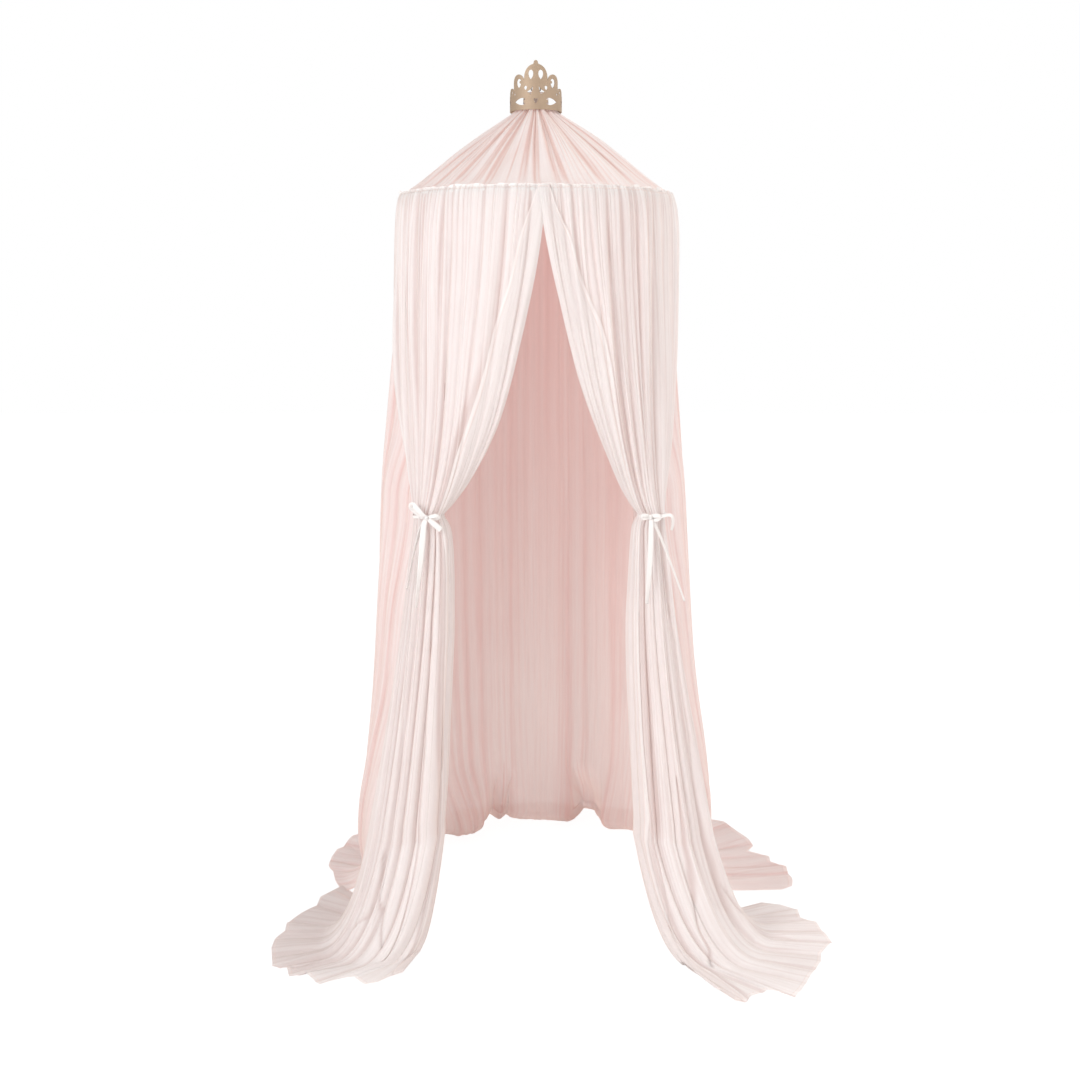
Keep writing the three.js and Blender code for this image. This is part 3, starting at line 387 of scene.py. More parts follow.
def net_material(name, weave, fold_layers_and_shade_colour, passing_colour, fold_layers_and_shade_tint, inner, band, streak=0.5):
    """Net lit from both sides: part of the light passes, and a little is seen straight through.
    Where folds lie close together it gets painted shade and the pinker look of net in layers, its back faces
    get painted shade of the canopy's inside, and it looks warmer seen along its surface."""
    material, tree = material_with(name)
    layout = node(tree, "ShaderNodeUVMap", uv_map="weave").outputs[0]
    pattern = node(tree, "ShaderNodeGroup", node_tree=weave)
    tree.links.new(layout, pattern.inputs["Layout"])
    # Crease share from the mesh: painted shade of the folds and the pinker look of layered net. The streaks
    # tint the fine creases the same way, as painted shade, and add slub tone
    crease = node(tree, "ShaderNodeAttribute", attribute_name="crease").outputs["Fac"]
    folded_layers_and_shade = maths(tree, "MULTIPLY", maths(tree, "POWER", crease, 1.5), fold_layers_and_shade_tint)
    streaks = maths(tree, "MULTIPLY_ADD", pattern.outputs["Creases"], streak, -0.5 * streak)
    streaks = maths(tree, "SUBTRACT", streaks, SLUB_MEAN)
    streaks = maths(tree, "MULTIPLY_ADD", pattern.outputs["Slubs"], SLUB_SHARE, streaks)
    tint = node(tree, "ShaderNodeClamp", {"Value": maths(tree, "ADD", folded_layers_and_shade, streaks)}).outputs[0]
    inside = node(tree, "ShaderNodeNewGeometry").outputs["Backfacing"]
    fall = node(tree, "ShaderNodeSeparateXYZ", {0: layout}).outputs[1]
    low = node(tree, "ShaderNodeMapRange", {"Value": fall, "From Min": 0.1, "From Max": 1.3}).outputs[0]
    # Back faces take the painted shade of the inside, by the share given as inner
    inside_shade = blend(tree, low, NET_INSIDE_SHADE_HIGH, NET_INSIDE_SHADE_LOW)
    pale = blend(tree, low, NET_PALE_HIGH, NET_PALE_LOW)
    ground = blend(tree, maths(tree, "MULTIPLY", inside, inner), pale, inside_shade)
    greyed = maths(tree, "MULTIPLY_ADD", pattern.outputs["Bands"], 4.0 * band, -1.6 * band)
    greyed = node(tree, "ShaderNodeClamp", {"Value": greyed}).outputs[0]
    ground = blend(tree, greyed, ground, NET_GREYED)
    ground = blend(tree, maths(tree, "MULTIPLY", pattern.outputs["Hem"], 0.5), ground, NET_HEM)
    colour = blend(tree, tint, ground, fold_layers_and_shade_colour)
    colour = blend(tree, maths(tree, "MULTIPLY", pattern.outputs["Stitches"], 0.6), colour, NET_SEAM)
    facing = node(tree, "ShaderNodeLayerWeight", {"Blend": 0.5}).outputs["Facing"]
    along = maths(tree, "MULTIPLY", maths(tree, "POWER", facing, 3.0), 0.8)
    colour = blend(tree, along, colour, NET_EDGE_ON)
    bump = node(tree, "ShaderNodeBump", {
        "Strength": 0.5, "Distance": 0.0012,
        "Height": maths(tree, "MULTIPLY_ADD", pattern.outputs["Threads"], 0.10, pattern.outputs["Creases"])})
    front = node(tree, "ShaderNodeBsdfPrincipled", {
        "Base Color": colour, "Roughness": 0.82, "Specular IOR Level": 0.2, "Sheen Weight": 0.2,
        "Sheen Roughness": 0.5, "Normal": bump.outputs[0]})
    warm = blend(tree, 1.0, colour, passing_colour, blend_type="MULTIPLY")
    passed = node(tree, "ShaderNodeBsdfTranslucent", {"Color": warm, "Normal": bump.outputs[0]})
    lit = node(tree, "ShaderNodeMixShader", {0: THROUGH_SHARE, 1: front.outputs[0], 2: passed.outputs[0]})
    clear = node(tree, "ShaderNodeBsdfTransparent")
    holes = maths(tree, "SUBTRACT", 1.0, pattern.outputs["Threads"])
    single = maths(tree, "SUBTRACT", 1.0, pattern.outputs["Hem"])
    opening = maths(tree, "MULTIPLY", maths(tree, "MULTIPLY", holes, OPEN_SHARE / HOLES_SHARE), single)
    whole = node(tree, "ShaderNodeMixShader", {0: opening, 1: lit.outputs[0], 2: clear.outputs[0]})
    node(tree, "ShaderNodeOutputMaterial", {"Surface": whole.outputs[0]})
    return material


def satin_material(name):
    material, tree = material_with(name)
    layout = node(tree, "ShaderNodeUVMap", uv_map="weave").outputs[0]
    stretch = node(tree, "ShaderNodeMapping", {"Vector": layout, "Scale": (40.0, 1.0, 1.0)})
    grain = node(tree, "ShaderNodeTexNoise", {"Vector": stretch.outputs[0], "Scale": 90.0, "Detail": 2.0})
    colour = blend(tree, grain.outputs[0], (0.93, 0.91, 0.895, 1), (0.97, 0.955, 0.945, 1))
    bump = node(tree, "ShaderNodeBump", {"Strength": 0.15, "Distance": 0.0004, "Height": grain.outputs[0]})
    surface = node(tree, "ShaderNodeBsdfPrincipled", {
        "Base Color": colour, "Roughness": 0.42, "Specular IOR Level": 0.3, "Anisotropic": 0.4,
        "Normal": bump.outputs[0]})
    passed = node(tree, "ShaderNodeBsdfTranslucent", {"Color": (0.9, 0.82, 0.79, 1)})
    both = node(tree, "ShaderNodeMixShader", {0: 0.25, 1: surface.outputs[0], 2: passed.outputs[0]})
    node(tree, "ShaderNodeOutputMaterial", {"Surface": both.outputs[0]})
    return material


WALL_SQUARENESS = 0.98


def rolled_normal(tree):
    """Smooth normal of a sheet rolled round the upright axis, kept only where a face is nearly
    square to the roll, so that the cut edges stay crisp."""
    shape = node(tree, "ShaderNodeNewGeometry")
    place = node(tree, "ShaderNodeTexCoord").outputs["Object"]
    level = node(tree, "ShaderNodeVectorMath", {0: place, 1: (1, 1, 0)}, operation="MULTIPLY").outputs[0]
    outward = node(tree, "ShaderNodeVectorMath", {0: level}, operation="NORMALIZE").outputs[0]
    flat = shape.outputs["True Normal"]
    square = node(tree, "ShaderNodeVectorMath", {0: outward, 1: flat}, operation="DOT_PRODUCT")
    turn = square.outputs["Value"]
    on_wall = maths(tree, "GREATER_THAN", maths(tree, "ABSOLUTE", turn), WALL_SQUARENESS)
    signed = node(tree, "ShaderNodeVectorMath", {0: outward}, operation="SCALE")
    tree.links.new(maths(tree, "SIGN", turn), signed.inputs["Scale"])
    chosen = node(tree, "ShaderNodeMix", {"Factor": on_wall}, data_type="VECTOR")
    tree.links.new(flat, chosen.inputs[4])
    tree.links.new(signed.outputs[0], chosen.inputs[5])
    return chosen.outputs[1]


def gold_material(name):
    """Champagne gold plate on pressed sheet: fine brushing, with faint clouds and specks."""
    material, tree = material_with(name)
    place = node(tree, "ShaderNodeTexCoord").outputs["Object"]
    brushed = node(tree, "ShaderNodeMapping", {"Vector": place, "Scale": (30.0, 30.0, 900.0)})
    grain = node(tree, "ShaderNodeTexNoise", {"Vector": brushed.outputs[0], "Scale": 1.0, "Detail": 3.0})
    clouds = node(tree, "ShaderNodeTexNoise", {"Vector": place, "Scale": 55.0, "Detail": 4.0})
    specks = node(tree, "ShaderNodeTexNoise", {"Vector": place, "Scale": 900.0, "Detail": 2.0})
    colour = blend(tree, clouds.outputs[0], (0.335, 0.243, 0.167, 1), (0.42, 0.308, 0.216, 1))
    colour = blend(tree, maths(tree, "MULTIPLY", specks.outputs[0], 0.22), colour, (0.72, 0.57, 0.43, 1))
    rough = node(tree, "ShaderNodeMapRange", {"Value": grain.outputs[0], "To Min": 0.55, "To Max": 0.68})
    bump = node(tree, "ShaderNodeBump", {
        "Strength": 0.2, "Distance": 0.0003, "Height": grain.outputs[0], "Normal": rolled_normal(tree)})
    surface = node(tree, "ShaderNodeBsdfPrincipled", {
        "Base Color": colour, "Metallic": 0.3, "Roughness": rough.outputs[0], "Normal": bump.outputs[0]})
    node(tree, "ShaderNodeOutputMaterial", {"Surface": surface.outputs[0]})
    return material


def plain_material(name, colour, metallic, roughness, grain_scale):
    material, tree = material_with(name)
    place = node(tree, "ShaderNodeTexCoord").outputs["Object"]
    grain = node(tree, "ShaderNodeTexNoise", {"Vector": place, "Scale": grain_scale, "Detail": 3.0})
    darker = tuple(0.86 * part for part in colour[:3]) + (1,)
    tint = blend(tree, grain.outputs[0], darker, colour)
    rough = node(tree, "ShaderNodeMapRange", {
        "Value": grain.outputs[0], "To Min": roughness - 0.06, "To Max": roughness + 0.08})
    surface = node(tree, "ShaderNodeBsdfPrincipled", {
        "Base Color": tint, "Metallic": metallic, "Roughness": rough.outputs[0]})
    node(tree, "ShaderNodeOutputMaterial", {"Surface": surface.outputs[0]})
    return material


weave = weave_group()
front_net = net_material("front net", weave, FRONT_FOLD_LAYERS_AND_SHADE, FRONT_THROUGH, fold_layers_and_shade_tint=0.75, inner=0.1, band=0.05)
back_net = net_material("back net", weave, BACK_FOLD_LAYERS_AND_SHADE, BACK_THROUGH, fold_layers_and_shade_tint=0.6, inner=1.0, band=0.3,
                        streak=0.9)
cone_net = net_material("cone net", weave, CONE_FOLD_LAYERS_AND_SHADE, FRONT_THROUGH, fold_layers_and_shade_tint=1.0, inner=0.5, band=0.05)
satin = satin_material("satin ribbon")
gold = gold_material("champagne gold")
steel = plain_material("nickel ring", (0.72, 0.71, 0.69, 1), 1.0, 0.25, 400.0)
tape = plain_material("woven tape", (0.92, 0.86, 0.83, 1), 0.0, 0.85, 900.0)
plastic = plain_material("hoop plastic", (0.93, 0.92, 0.9, 1), 0.0, 0.45, 300.0)


# Front curtains

LEFT_WAIST = {"x": 0.2305, "y": -0.200, "half_width": 0.0355, "half_depth": 0.028}
RIGHT_WAIST = {"x": 0.249, "y": -0.192, "half_width": 0.033, "half_depth": 0.028}
LEFT_FOOT = {"x": 0.290, "y": -0.205, "half_width": 0.082, "half_depth": 0.066}
RIGHT_FOOT = {"x": 0.305, "y": -0.210, "half_width": 0.086, "half_depth": 0.068}
WAIST_INSET = 0.0062
WAIST_HALF = 0.006
TAIL_START = 1.04
CURTAIN_SIDE_ANGLE = 86
SHOULDER_HEIGHT = HOOP_HEIGHT + 0.012
# The cloth's way over the hoop: distance out from the casing's rim, by height over the hoop
SHOULDER_LEVELS = [-0.080, -0.055, -0.030, -0.012, 0.000, 0.0065, 0.0095, 0.012]
SHOULDER_REACHES = [0.0060, 0.0055, 0.0045, 0.0030, 0.0012, -0.0015, -0.0042, -0.0036]
# Part of the cloth's width that is turned back over its leading edge
TURNED_WIDTH = 0.2

# Where the leading edges start at the hoop, right of the middle, how they fall to the tie, how
# far the turned strips cover the cloth, where a band of painted highlight runs, how much painted
# shade lies on the fanned train, and the folds' creases
LEFT_CURTAIN = {"side": LEFT, "waist": LEFT_WAIST, "foot": LEFT_FOOT, "start": 0.020, "proud": 0.0,
                "lead": 1.72, "lead_gain": 0.33, "seed": 11, "shade": 0.5,
                "cover_places": [0, 0.15, 0.29, 0.4, 0.5, 0.6, 0.7, 0.83, 0.97, 1.16, 1.45, 1.7, 1.9, 2.1,
                                 2.3, 2.6, 3],
                "covers": [0.03, 0.093, 0.125, 0.165, 0.185, 0.211, 0.246, 0.29, 0.30, 0.243, 0.235, 0.21,
                           0.178, 0.175, 0.15, 0.10, 0.03],
                "lit_band_places": [1.03, 1.10, 1.21, 1.37, 1.50, 1.61, 1.75, 1.85, 2.08, 2.21, 2.35, 2.6],
                "lit_bands": [0.35, 0.351, 0.353, 0.356, 0.338, 0.333, 0.323, 0.326, 0.303, 0.293, 0.278,
                          0.25],
                "creases": [-0.08, 0.0, 0.09, 0.19, 0.35, 0.43, 0.49, 0.55, 0.62, 0.72, 0.81, 0.91, 1.0,
                            1.1],
                "strengths": [0.5, 0.5, 0.6, 0.7, 1.3, 0.8, 0.9, 1.2, 1.0, 0.5, 0.7, 0.5, 0.5, 0.5]}
RIGHT_CURTAIN = {"side": RIGHT, "waist": RIGHT_WAIST, "foot": RIGHT_FOOT, "start": 0.004, "proud": 0.004,
                 "lead": 1.35, "lead_gain": 0.45, "seed": 47, "shade": 0.15,
                 "cover_places": [0, 0.07, 0.15, 0.27, 0.36, 0.42, 0.6, 0.76, 1, 1.4, 1.63, 1.87,
                                  2.1, 2.6, 3],
                 "covers": [0.05, 0.078, 0.125, 0.16, 0.21, 0.245, 0.275, 0.27, 0.276, 0.276, 0.278, 0.29,
                            0.25, 0.18, 0.12],
                 "lit_band_places": [0, 3], "lit_bands": [0, 0],
                 "creases": [-0.07, 0.0, 0.10, 0.20, 0.32, 0.42, 0.50, 0.59, 0.68, 0.76, 0.84, 0.92, 1.0,
                             1.1],
                 "strengths": [0.5, 0.5, 0.6, 0.9, 1.2, 0.6, 1.1, 0.5, 1.2, 0.8, 0.6, 0.5, 0.5, 0.5]}

# Corners of the trains' hems on the floor, from the leading edge round to the side edge:
# place across the cloth, distance out from the middle, distance behind the hoop's middle
LEFT_CURTAIN["hem"] = [
    (0.00, 0.283, -0.403), (0.06, 0.318, -0.429), (0.14, 0.358, -0.446), (0.20, 0.384, -0.412),
    (0.33, 0.452, -0.446), (0.40, 0.489, -0.396), (0.47, 0.522, -0.411), (0.52, 0.533, -0.376),
    (0.58, 0.566, -0.367), (0.66, 0.585, -0.280), (0.72, 0.586, -0.232), (0.76, 0.570, -0.198),
    (0.80, 0.573, -0.157), (0.86, 0.549, -0.105), (0.91, 0.520, -0.060), (0.95, 0.518, -0.015),
    (1.00, 0.475, 0.050)]
RIGHT_CURTAIN["hem"] = [
    (0.00, 0.372, -0.468), (0.06, 0.408, -0.518), (0.11, 0.430, -0.520), (0.15, 0.442, -0.496),
    (0.22, 0.481, -0.470), (0.32, 0.533, -0.496), (0.38, 0.553, -0.467), (0.48, 0.590, -0.394),
    (0.55, 0.617, -0.345), (0.60, 0.625, -0.308), (0.68, 0.660, -0.256), (0.77, 0.649, -0.190),
    (0.82, 0.645, -0.150), (0.86, 0.613, -0.126), (0.91, 0.615, -0.084), (0.95, 0.580, -0.062),
    (1.00, 0.535, -0.045)]

# Millimetres that the leading edges stand into the opening below and above the ties, by height
EDGE_HEIGHTS = [0.29, 0.354, 0.446, 0.541, 0.633, 0.726, 0.818, 0.911, 0.94, 0.963, 0.99, 1.04, 1.09,
                1.144, 1.25, 1.33, 1.41]
LEFT_CURTAIN["edge_shifts"] = [0, 6, 11, 16, 21, 25, 25, 21, 15, 2, 10, 18, 20, 19, 10, 3, 0]
RIGHT_CURTAIN["edge_shifts"] = [0, 5, 11, 16, 21, 23, 19, 15, 12, 0, 7, 11, 10, 9, 7, 3, 0]
MILLIMETRE = 0.001

# Single deep creases of the trains, each drawn as places down the curtain, places across it,
# half widths across it and strength. Each is sunk into the cloth and painted with shade at its strength.
LEFT_CURTAIN["furrows"] = [
    ([2.05, 2.15, 2.24, 2.35, 2.42], [0.50, 0.475, 0.426, 0.376, 0.35],
     [0.004, 0.010, 0.018, 0.012, 0.002], 1.0),
    ([2.02, 2.16, 2.25, 2.35, 2.53, 2.84, 2.95], [0.50, 0.474, 0.486, 0.541, 0.536, 0.514, 0.51],
     [0.004, 0.010, 0.014, 0.018, 0.018, 0.016, 0.008], 0.95),
    ([2.15, 2.35, 2.55, 2.80], [0.58, 0.62, 0.64, 0.62], [0.003, 0.012, 0.012, 0.002], 0.7),
    (LEFT_CURTAIN["lit_band_places"], LEFT_CURTAIN["lit_bands"],
     [0.002, 0.004, 0.005, 0.006, 0.006, 0.007, 0.009, 0.012, 0.013, 0.011, 0.007, 0.002], 0.85),
    ([1.20, 1.60, 2.00, 2.30], [0.52, 0.50, 0.47, 0.44], [0.003, 0.006, 0.006, 0.002], 0.45),
    ([1.30, 1.70, 2.10], [0.72, 0.74, 0.75], [0.003, 0.007, 0.002], 0.4)]
RIGHT_CURTAIN["furrows"] = [
    ([1.80, 1.88, 2.054, 2.09, 2.15, 2.20], [0.44, 0.439, 0.434, 0.429, 0.424, 0.42],
     [0.003, 0.008, 0.018, 0.018, 0.010, 0.003], 1.0),
    ([2.10, 2.15, 2.31, 2.39, 2.56, 2.62], [0.43, 0.424, 0.371, 0.361, 0.256, 0.22],
     [0.003, 0.007, 0.012, 0.018, 0.012, 0.003], 1.0),
    ([1.85, 1.93, 2.07, 2.19, 2.40, 2.50], [0.59, 0.591, 0.596, 0.591, 0.596, 0.60],
     [0.004, 0.010, 0.012, 0.013, 0.011, 0.003], 0.85),
    ([2.15, 2.27, 2.41, 2.64, 2.75], [0.60, 0.625, 0.70, 0.702, 0.69],
     [0.003, 0.012, 0.016, 0.014, 0.003], 0.85),
    ([1.30, 1.65, 2.02, 2.38, 2.60], [0.256, 0.256, 0.291, 0.178, 0.12],
     [0.003, 0.006, 0.008, 0.008, 0.002], 0.5),
    ([1.06, 1.16, 1.40, 1.64, 1.85], [0.55, 0.559, 0.607, 0.607, 0.59],
     [0.003, 0.005, 0.006, 0.006, 0.003], 0.6),
    ([1.40, 1.80, 2.20], [0.78, 0.79, 0.78], [0.003, 0.008, 0.003], 0.45)]
FURROW_DEPTH = 0.006

# Height of the smooth base where cloth lies on the floor, and what the leading edge has over it
FLOOR_LIFT = 0.007
EDGE_LIFT = 0.006
EDGE_ROLL = 0.09
# Part of the sweep that has come down to the floor
LANDED_SHARE = 0.62
# An open loop round a waist or foot, in degrees from its inner side
LOOP_START = -25
LOOP_END = 245
SIDE_LEAD = 3.5
# How far the turned strip stands off the cloth, and its own lift where it lies on the floor
STRIP_CLEARANCE = 0.0034
STRIP_REST = 0.0025
FRONT_FLAT = (0.48, 2.26)


def loop_point(side, oval, inset, height, p):
    """Point on an open loop round an upright oval, from its inner side by way of the front."""
    angle = np.radians(mix(LOOP_START, LOOP_END, p))
    return stack(side * (oval["x"] - (oval["half_width"] - inset) * np.cos(angle)),
                 oval["y"] - (oval["half_depth"] - inset) * np.sin(angle), height)


def curtain_base(curtain):
    """Smooth surface of a front curtain. Place 0 is the hoop, 1 the tie, 2 the start of the
    sweep and 3 the hem; p runs from the leading edge to the side edge."""
    side, waist, foot = curtain["side"], curtain["waist"], curtain["foot"]
    hem = np.array(curtain["hem"])
    start = side * curtain["start"]

    def hanging(p, place):
        h = np.clip(place, 0, 1)
        first = math.asin(start / CASING_REACH)
        angle = mix(first, math.radians(CURTAIN_SIDE_ANGLE), p)
        height = mix(SHOULDER_HEIGHT, TIE_HEIGHT + WAIST_HALF, place)
        reach = CASING_REACH + through(SHOULDER_LEVELS, SHOULDER_REACHES, height - HOOP_HEIGHT)
        reach = reach + curtain["proud"] * (1 - p) * (1 - h)
        top = stack(side * reach * np.sin(angle), -reach * np.cos(angle), height)
        tied = loop_point(side, waist, WAIST_INSET, TIE_HEIGHT + WAIST_HALF, p)
        inside = np.clip(p, 0, 1)
        pull = h ** (mix(curtain["lead"], SIDE_LEAD, inside) + curtain["lead_gain"] * h * (1 - inside))
        swell = (0.012 + 0.002 * (1 - inside)) * np.sin(math.pi * h) * (0.3 + 0.7 * inside)
        out = unit(top * np.array([1, 1, 0]))
        point = mix(top, tied, pull[..., None]) + out * swell[..., None]
        point[..., 2] = height
        return point

    def banded(p, place):
        height = TIE_HEIGHT + WAIST_HALF * (1 - 2 * (place - 1) / (TAIL_START - 1))
        return loop_point(side, waist, WAIST_INSET, height, p)

    def tailing(p, place):
        share = (place - TAIL_START) / (2 - TAIL_START)
        flare = mix(share, share * share, 0.25)
        tied = loop_point(side, waist, WAIST_INSET, TIE_HEIGHT - WAIST_HALF, p)
        spread = loop_point(side, foot, 0, SWEEP_HEIGHT, p)
        point = mix(tied, spread, flare[..., None])
        point[..., 2] = mix(TIE_HEIGHT - WAIST_HALF, SWEEP_HEIGHT, share)
        return point

    def sweeping(p, place):
        lie = place - 2
        inside = np.clip(p, 0, 1)
        spread = loop_point(side, foot, 0, SWEEP_HEIGHT, p)
        out = np.interp(inside, hem[:, 0], hem[:, 1])
        back = np.interp(inside, hem[:, 0], hem[:, 2])
        end = stack(side * out, back, FLOOR_LIFT)
        smooth_out = through(hem[::2, 0], hem[::2, 1], inside)
        smooth_back = through(hem[::2, 0], hem[::2, 2], inside)
        smooth_end = stack(side * smooth_out, smooth_back, FLOOR_LIFT)
        out_share = mix(lie, lie * lie, 0.25)
        hem_end = mix(smooth_end, end, ease((lie - 0.4) / 0.6)[..., None])
        point = mix(spread, hem_end, out_share[..., None])
        rolled_edge = EDGE_LIFT * np.exp(-(inside / EDGE_ROLL) ** 2)
        falling = np.maximum(0, 1 - lie / LANDED_SHARE) ** 2
        point[..., 2] = mix(FLOOR_LIFT + rolled_edge, SWEEP_HEIGHT, falling)
        return point

    def base(p, place):
        p, place = np.broadcast_arrays(p, place)
        point = hanging(p, place)
        for start_place, part in ((1, banded), (TAIL_START, tailing), (2, sweeping)):
            here = place > start_place
            if here.any():
                point[here] = part(p[here], place[here])
        shift = through(EDGE_HEIGHTS, curtain["edge_shifts"], point[..., 2]) * MILLIMETRE
        point[..., 0] -= side * shift * (1 - np.clip(p, 0, 1)) ** 2
        return point

    return base


# Depths of the three sets of folds down a front curtain, in tenths of a millimetre
FOLD_PLACES = [0, 0.015, 0.06, 0.2, 0.5, 0.8, 1, TAIL_START, 1.15, 1.5, 2, 2.4, 3]
FINE_DEPTHS = [18, 12, 18, 16, 15, 12, 5, 5, 7, 7, 6, 5, 2]
MIDDLE_DEPTHS = [16, 14, 34, 62, 72, 50, 16, 16, 24, 24, 18, 12, 5]
MAIN_DEPTHS = [0, 2, 8, 20, 38, 40, 32, 32, 52, 78, 100, 80, 30]
DEPTH_UNIT = 0.0001


def curtain_folds(curtain, p, place):
    """Lift, slide and crease share of a front curtain's folds."""
    seed = curtain["seed"]
    edge = mix(0.4, 1, ease(np.minimum(np.abs(p), np.abs(1 - p)) * 14))
    fine, middle, main = (through(FOLD_PLACES, depths, place) * DEPTH_UNIT * edge
                          for depths in (FINE_DEPTHS, MIDDLE_DEPTHS, MAIN_DEPTHS))
    parts = [gathers(p, place, 46, seed, fine, 0.5),
             gathers(p, place, 17, seed + 5, middle, 0.6),
             laps(p, place, curtain["creases"], curtain["strengths"], seed + 9, main)]
    lift = sum(part[0] for part in parts)
    slide = sum(part[1] for part in parts)
    # Crease share that the net's colour reads: painted shade in the valleys, along the fold lines, the
    # heading's tight gathers and the furrows, and the curtain's own painted shade on the fanned train; it
    # also stands for the pinker look of net lying in layers
    low = ease((place - 1.1) * 2)
    gathered = np.exp(-(place / 0.07) ** 2) * edge * gathers(p, place, 74, seed + 20, 1.0, 0.7)[2]
    lines = 0.6 * parts[0][2] + mix(1.0, 0.3, low) * parts[1][2] + 0.8 * low * parts[2][2] + 0.9 * gathered
    deep = furrows(p, place, curtain["furrows"])
    shade = curtain["shade"] * ease((place - 2.2) * 2) * ease((p - 0.3) * 4)
    crease = np.clip(0.3 * valleys(lift, fine + middle + main) + 0.75 * lines + shade, 0, 0.85)
    return lift - FURROW_DEPTH * deep, slide, np.maximum(crease, deep)


def uneven_rows(stations, counts):
    """Places down a cloth: so many rows between each station and the next."""
    parts = [np.linspace(a, b, n, endpoint=False) for a, b, n in zip(stations, stations[1:], counts)]
    return np.concatenate([*parts, [stations[-1]]])


def front_curtain(name, curtain, cad_node):
    """The strip along the leading edge is turned back over the cloth and lies outside it."""
    rows = uneven_rows([0, 0.05, 0.85, 1, TAIL_START, 1.2, 2, 3], [12, 52, 20, 4, 12, 42, 58])
    columns = np.concatenate([np.linspace(0, TURNED_WIDTH, 90, endpoint=False),
                              np.linspace(TURNED_WIDTH, 1, 394)])
    across, place = np.meshgrid(columns, rows)
    cover = through(curtain["cover_places"], curtain["covers"], place)
    turned_back = across < TURNED_WIDTH
    share = across / TURNED_WIDTH
    p = np.where(turned_back, cover * (1 - share), (across - TURNED_WIDTH) / (1 - TURNED_WIDTH))
    lift, slide, crease = curtain_folds(curtain, p, place)
    under = ease((cover * 1.15 - p) / (0.15 * cover))
    calm = np.where(turned_back, 0.65, 1 - 0.3 * under)
    clear = STRIP_CLEARANCE * ease((1 - share) * 5)
    lift = lift * calm + np.where(turned_back, clear, 0)
    slide = np.where(turned_back, 0.2 * slide, slide * calm)
    strip_crease = crease * mix(0.7, 0.35, ease(place - 0.6))
    # Painted shadow cast by the turned strip on the cloth just beyond its edge
    strip_shadow = np.exp(-((p - 1.05 * cover) / (0.09 * cover + 0.004)) ** 2) * ease((place - 0.3) * 2)
    # Painted highlight: along the lit band most of the fold shade is taken away
    band = through(curtain["lit_band_places"], curtain["lit_bands"], place)
    lit = ease((band - p) / 0.03) * ease((place - 1.02) * 12)
    crease = np.clip(crease * (1 - 0.7 * lit) + 0.8 * strip_shadow, 0, 1)
    crease = np.where(turned_back, strip_crease, crease)
    side = curtain["side"]
    points = laid(curtain_base(curtain), p, place, lift, slide, -side)
    rest = LIFTED + STRIP_REST * np.where(turned_back, ease((1 - share) * 3), 0)
    piece = cloth(name, points, FRONT_FLAT, turned=side == RIGHT, rest=rest, crease=crease)
    finish_piece(piece, front_net, "canopy", cad_node)


# Back curtain. Levels are shares of its height, and at each there are shares of the full radius
# and angles from the front, in degrees, for its free edge and for where it is tucked in behind

SIDE_LEVELS = [0, 0.12, 0.18, 0.3, 0.45, 0.594, 0.68, 0.844, 0.96, 1]
SIDE_SHARES = [1, 0.85, 0.735, 0.56, 0.42, 0.31, 0.245, 0.12, 0.04, 0]
TUCK_LEVELS = [0, 0.06, 0.184, 0.307, 0.43, 0.59, 0.675, 0.756, 0.86, 1]
EDGE_ANGLES = [92.5, 86, 74, 66, 61, 55, 55, 56, 56, 56]
EDGE_SHARES = [0.96, 0.93, 0.852, 0.767, 0.783, 0.754, 0.787, 0.86, 0.91, 0.957]
TUCK_END_ANGLES = [100, 92, 80, 72, 68, 62, 76, 85, 90, 89]
TUCK_SHARES = [0.97, 0.96, 0.926, 0.873, 0.86, 0.784, 0.817, 0.88, 0.91, 0.96]
TUCK_START_ANGLES = [104, 100, 98, 97, 96, 94, 96, 97, 97, 95]
BACK_HEADING_HEIGHT = HOOP_HEIGHT - CASING_HALF - 0.0005
BACK_HEADING_RADIUS = HOOP_RADIUS + 0.0023
BACK_HEM_RADIUS = 0.440
HEM_BEND = 0.045
BEND_REACH = 0.07
HEM_RUFFLE = 0.004
PUDDLE_SHADE = 0.06
LEFT_SWELL = 0.026
RIGHT_SWELL = 0.014

# How far out the back hem lies, by angle from the front: left side, back, right side
HEM_ANGLES = [92, 96.5, 100, 105, 107.7, 113.6, 117.7, 120.3, 127, 131, 150, 180, 205, 220, 227.6, 232,
              242, 244.2, 249, 251.5, 255, 259.4, 265.8, 268.5]
HEM_RADII = [0.470, 0.487, 0.509, 0.526, 0.551, 0.579, 0.592, 0.589, 0.618, 0.612, 0.600, 0.598, 0.610,
             0.665, 0.696, 0.679, 0.643, 0.610, 0.641, 0.629, 0.654, 0.638, 0.623, 0.575]
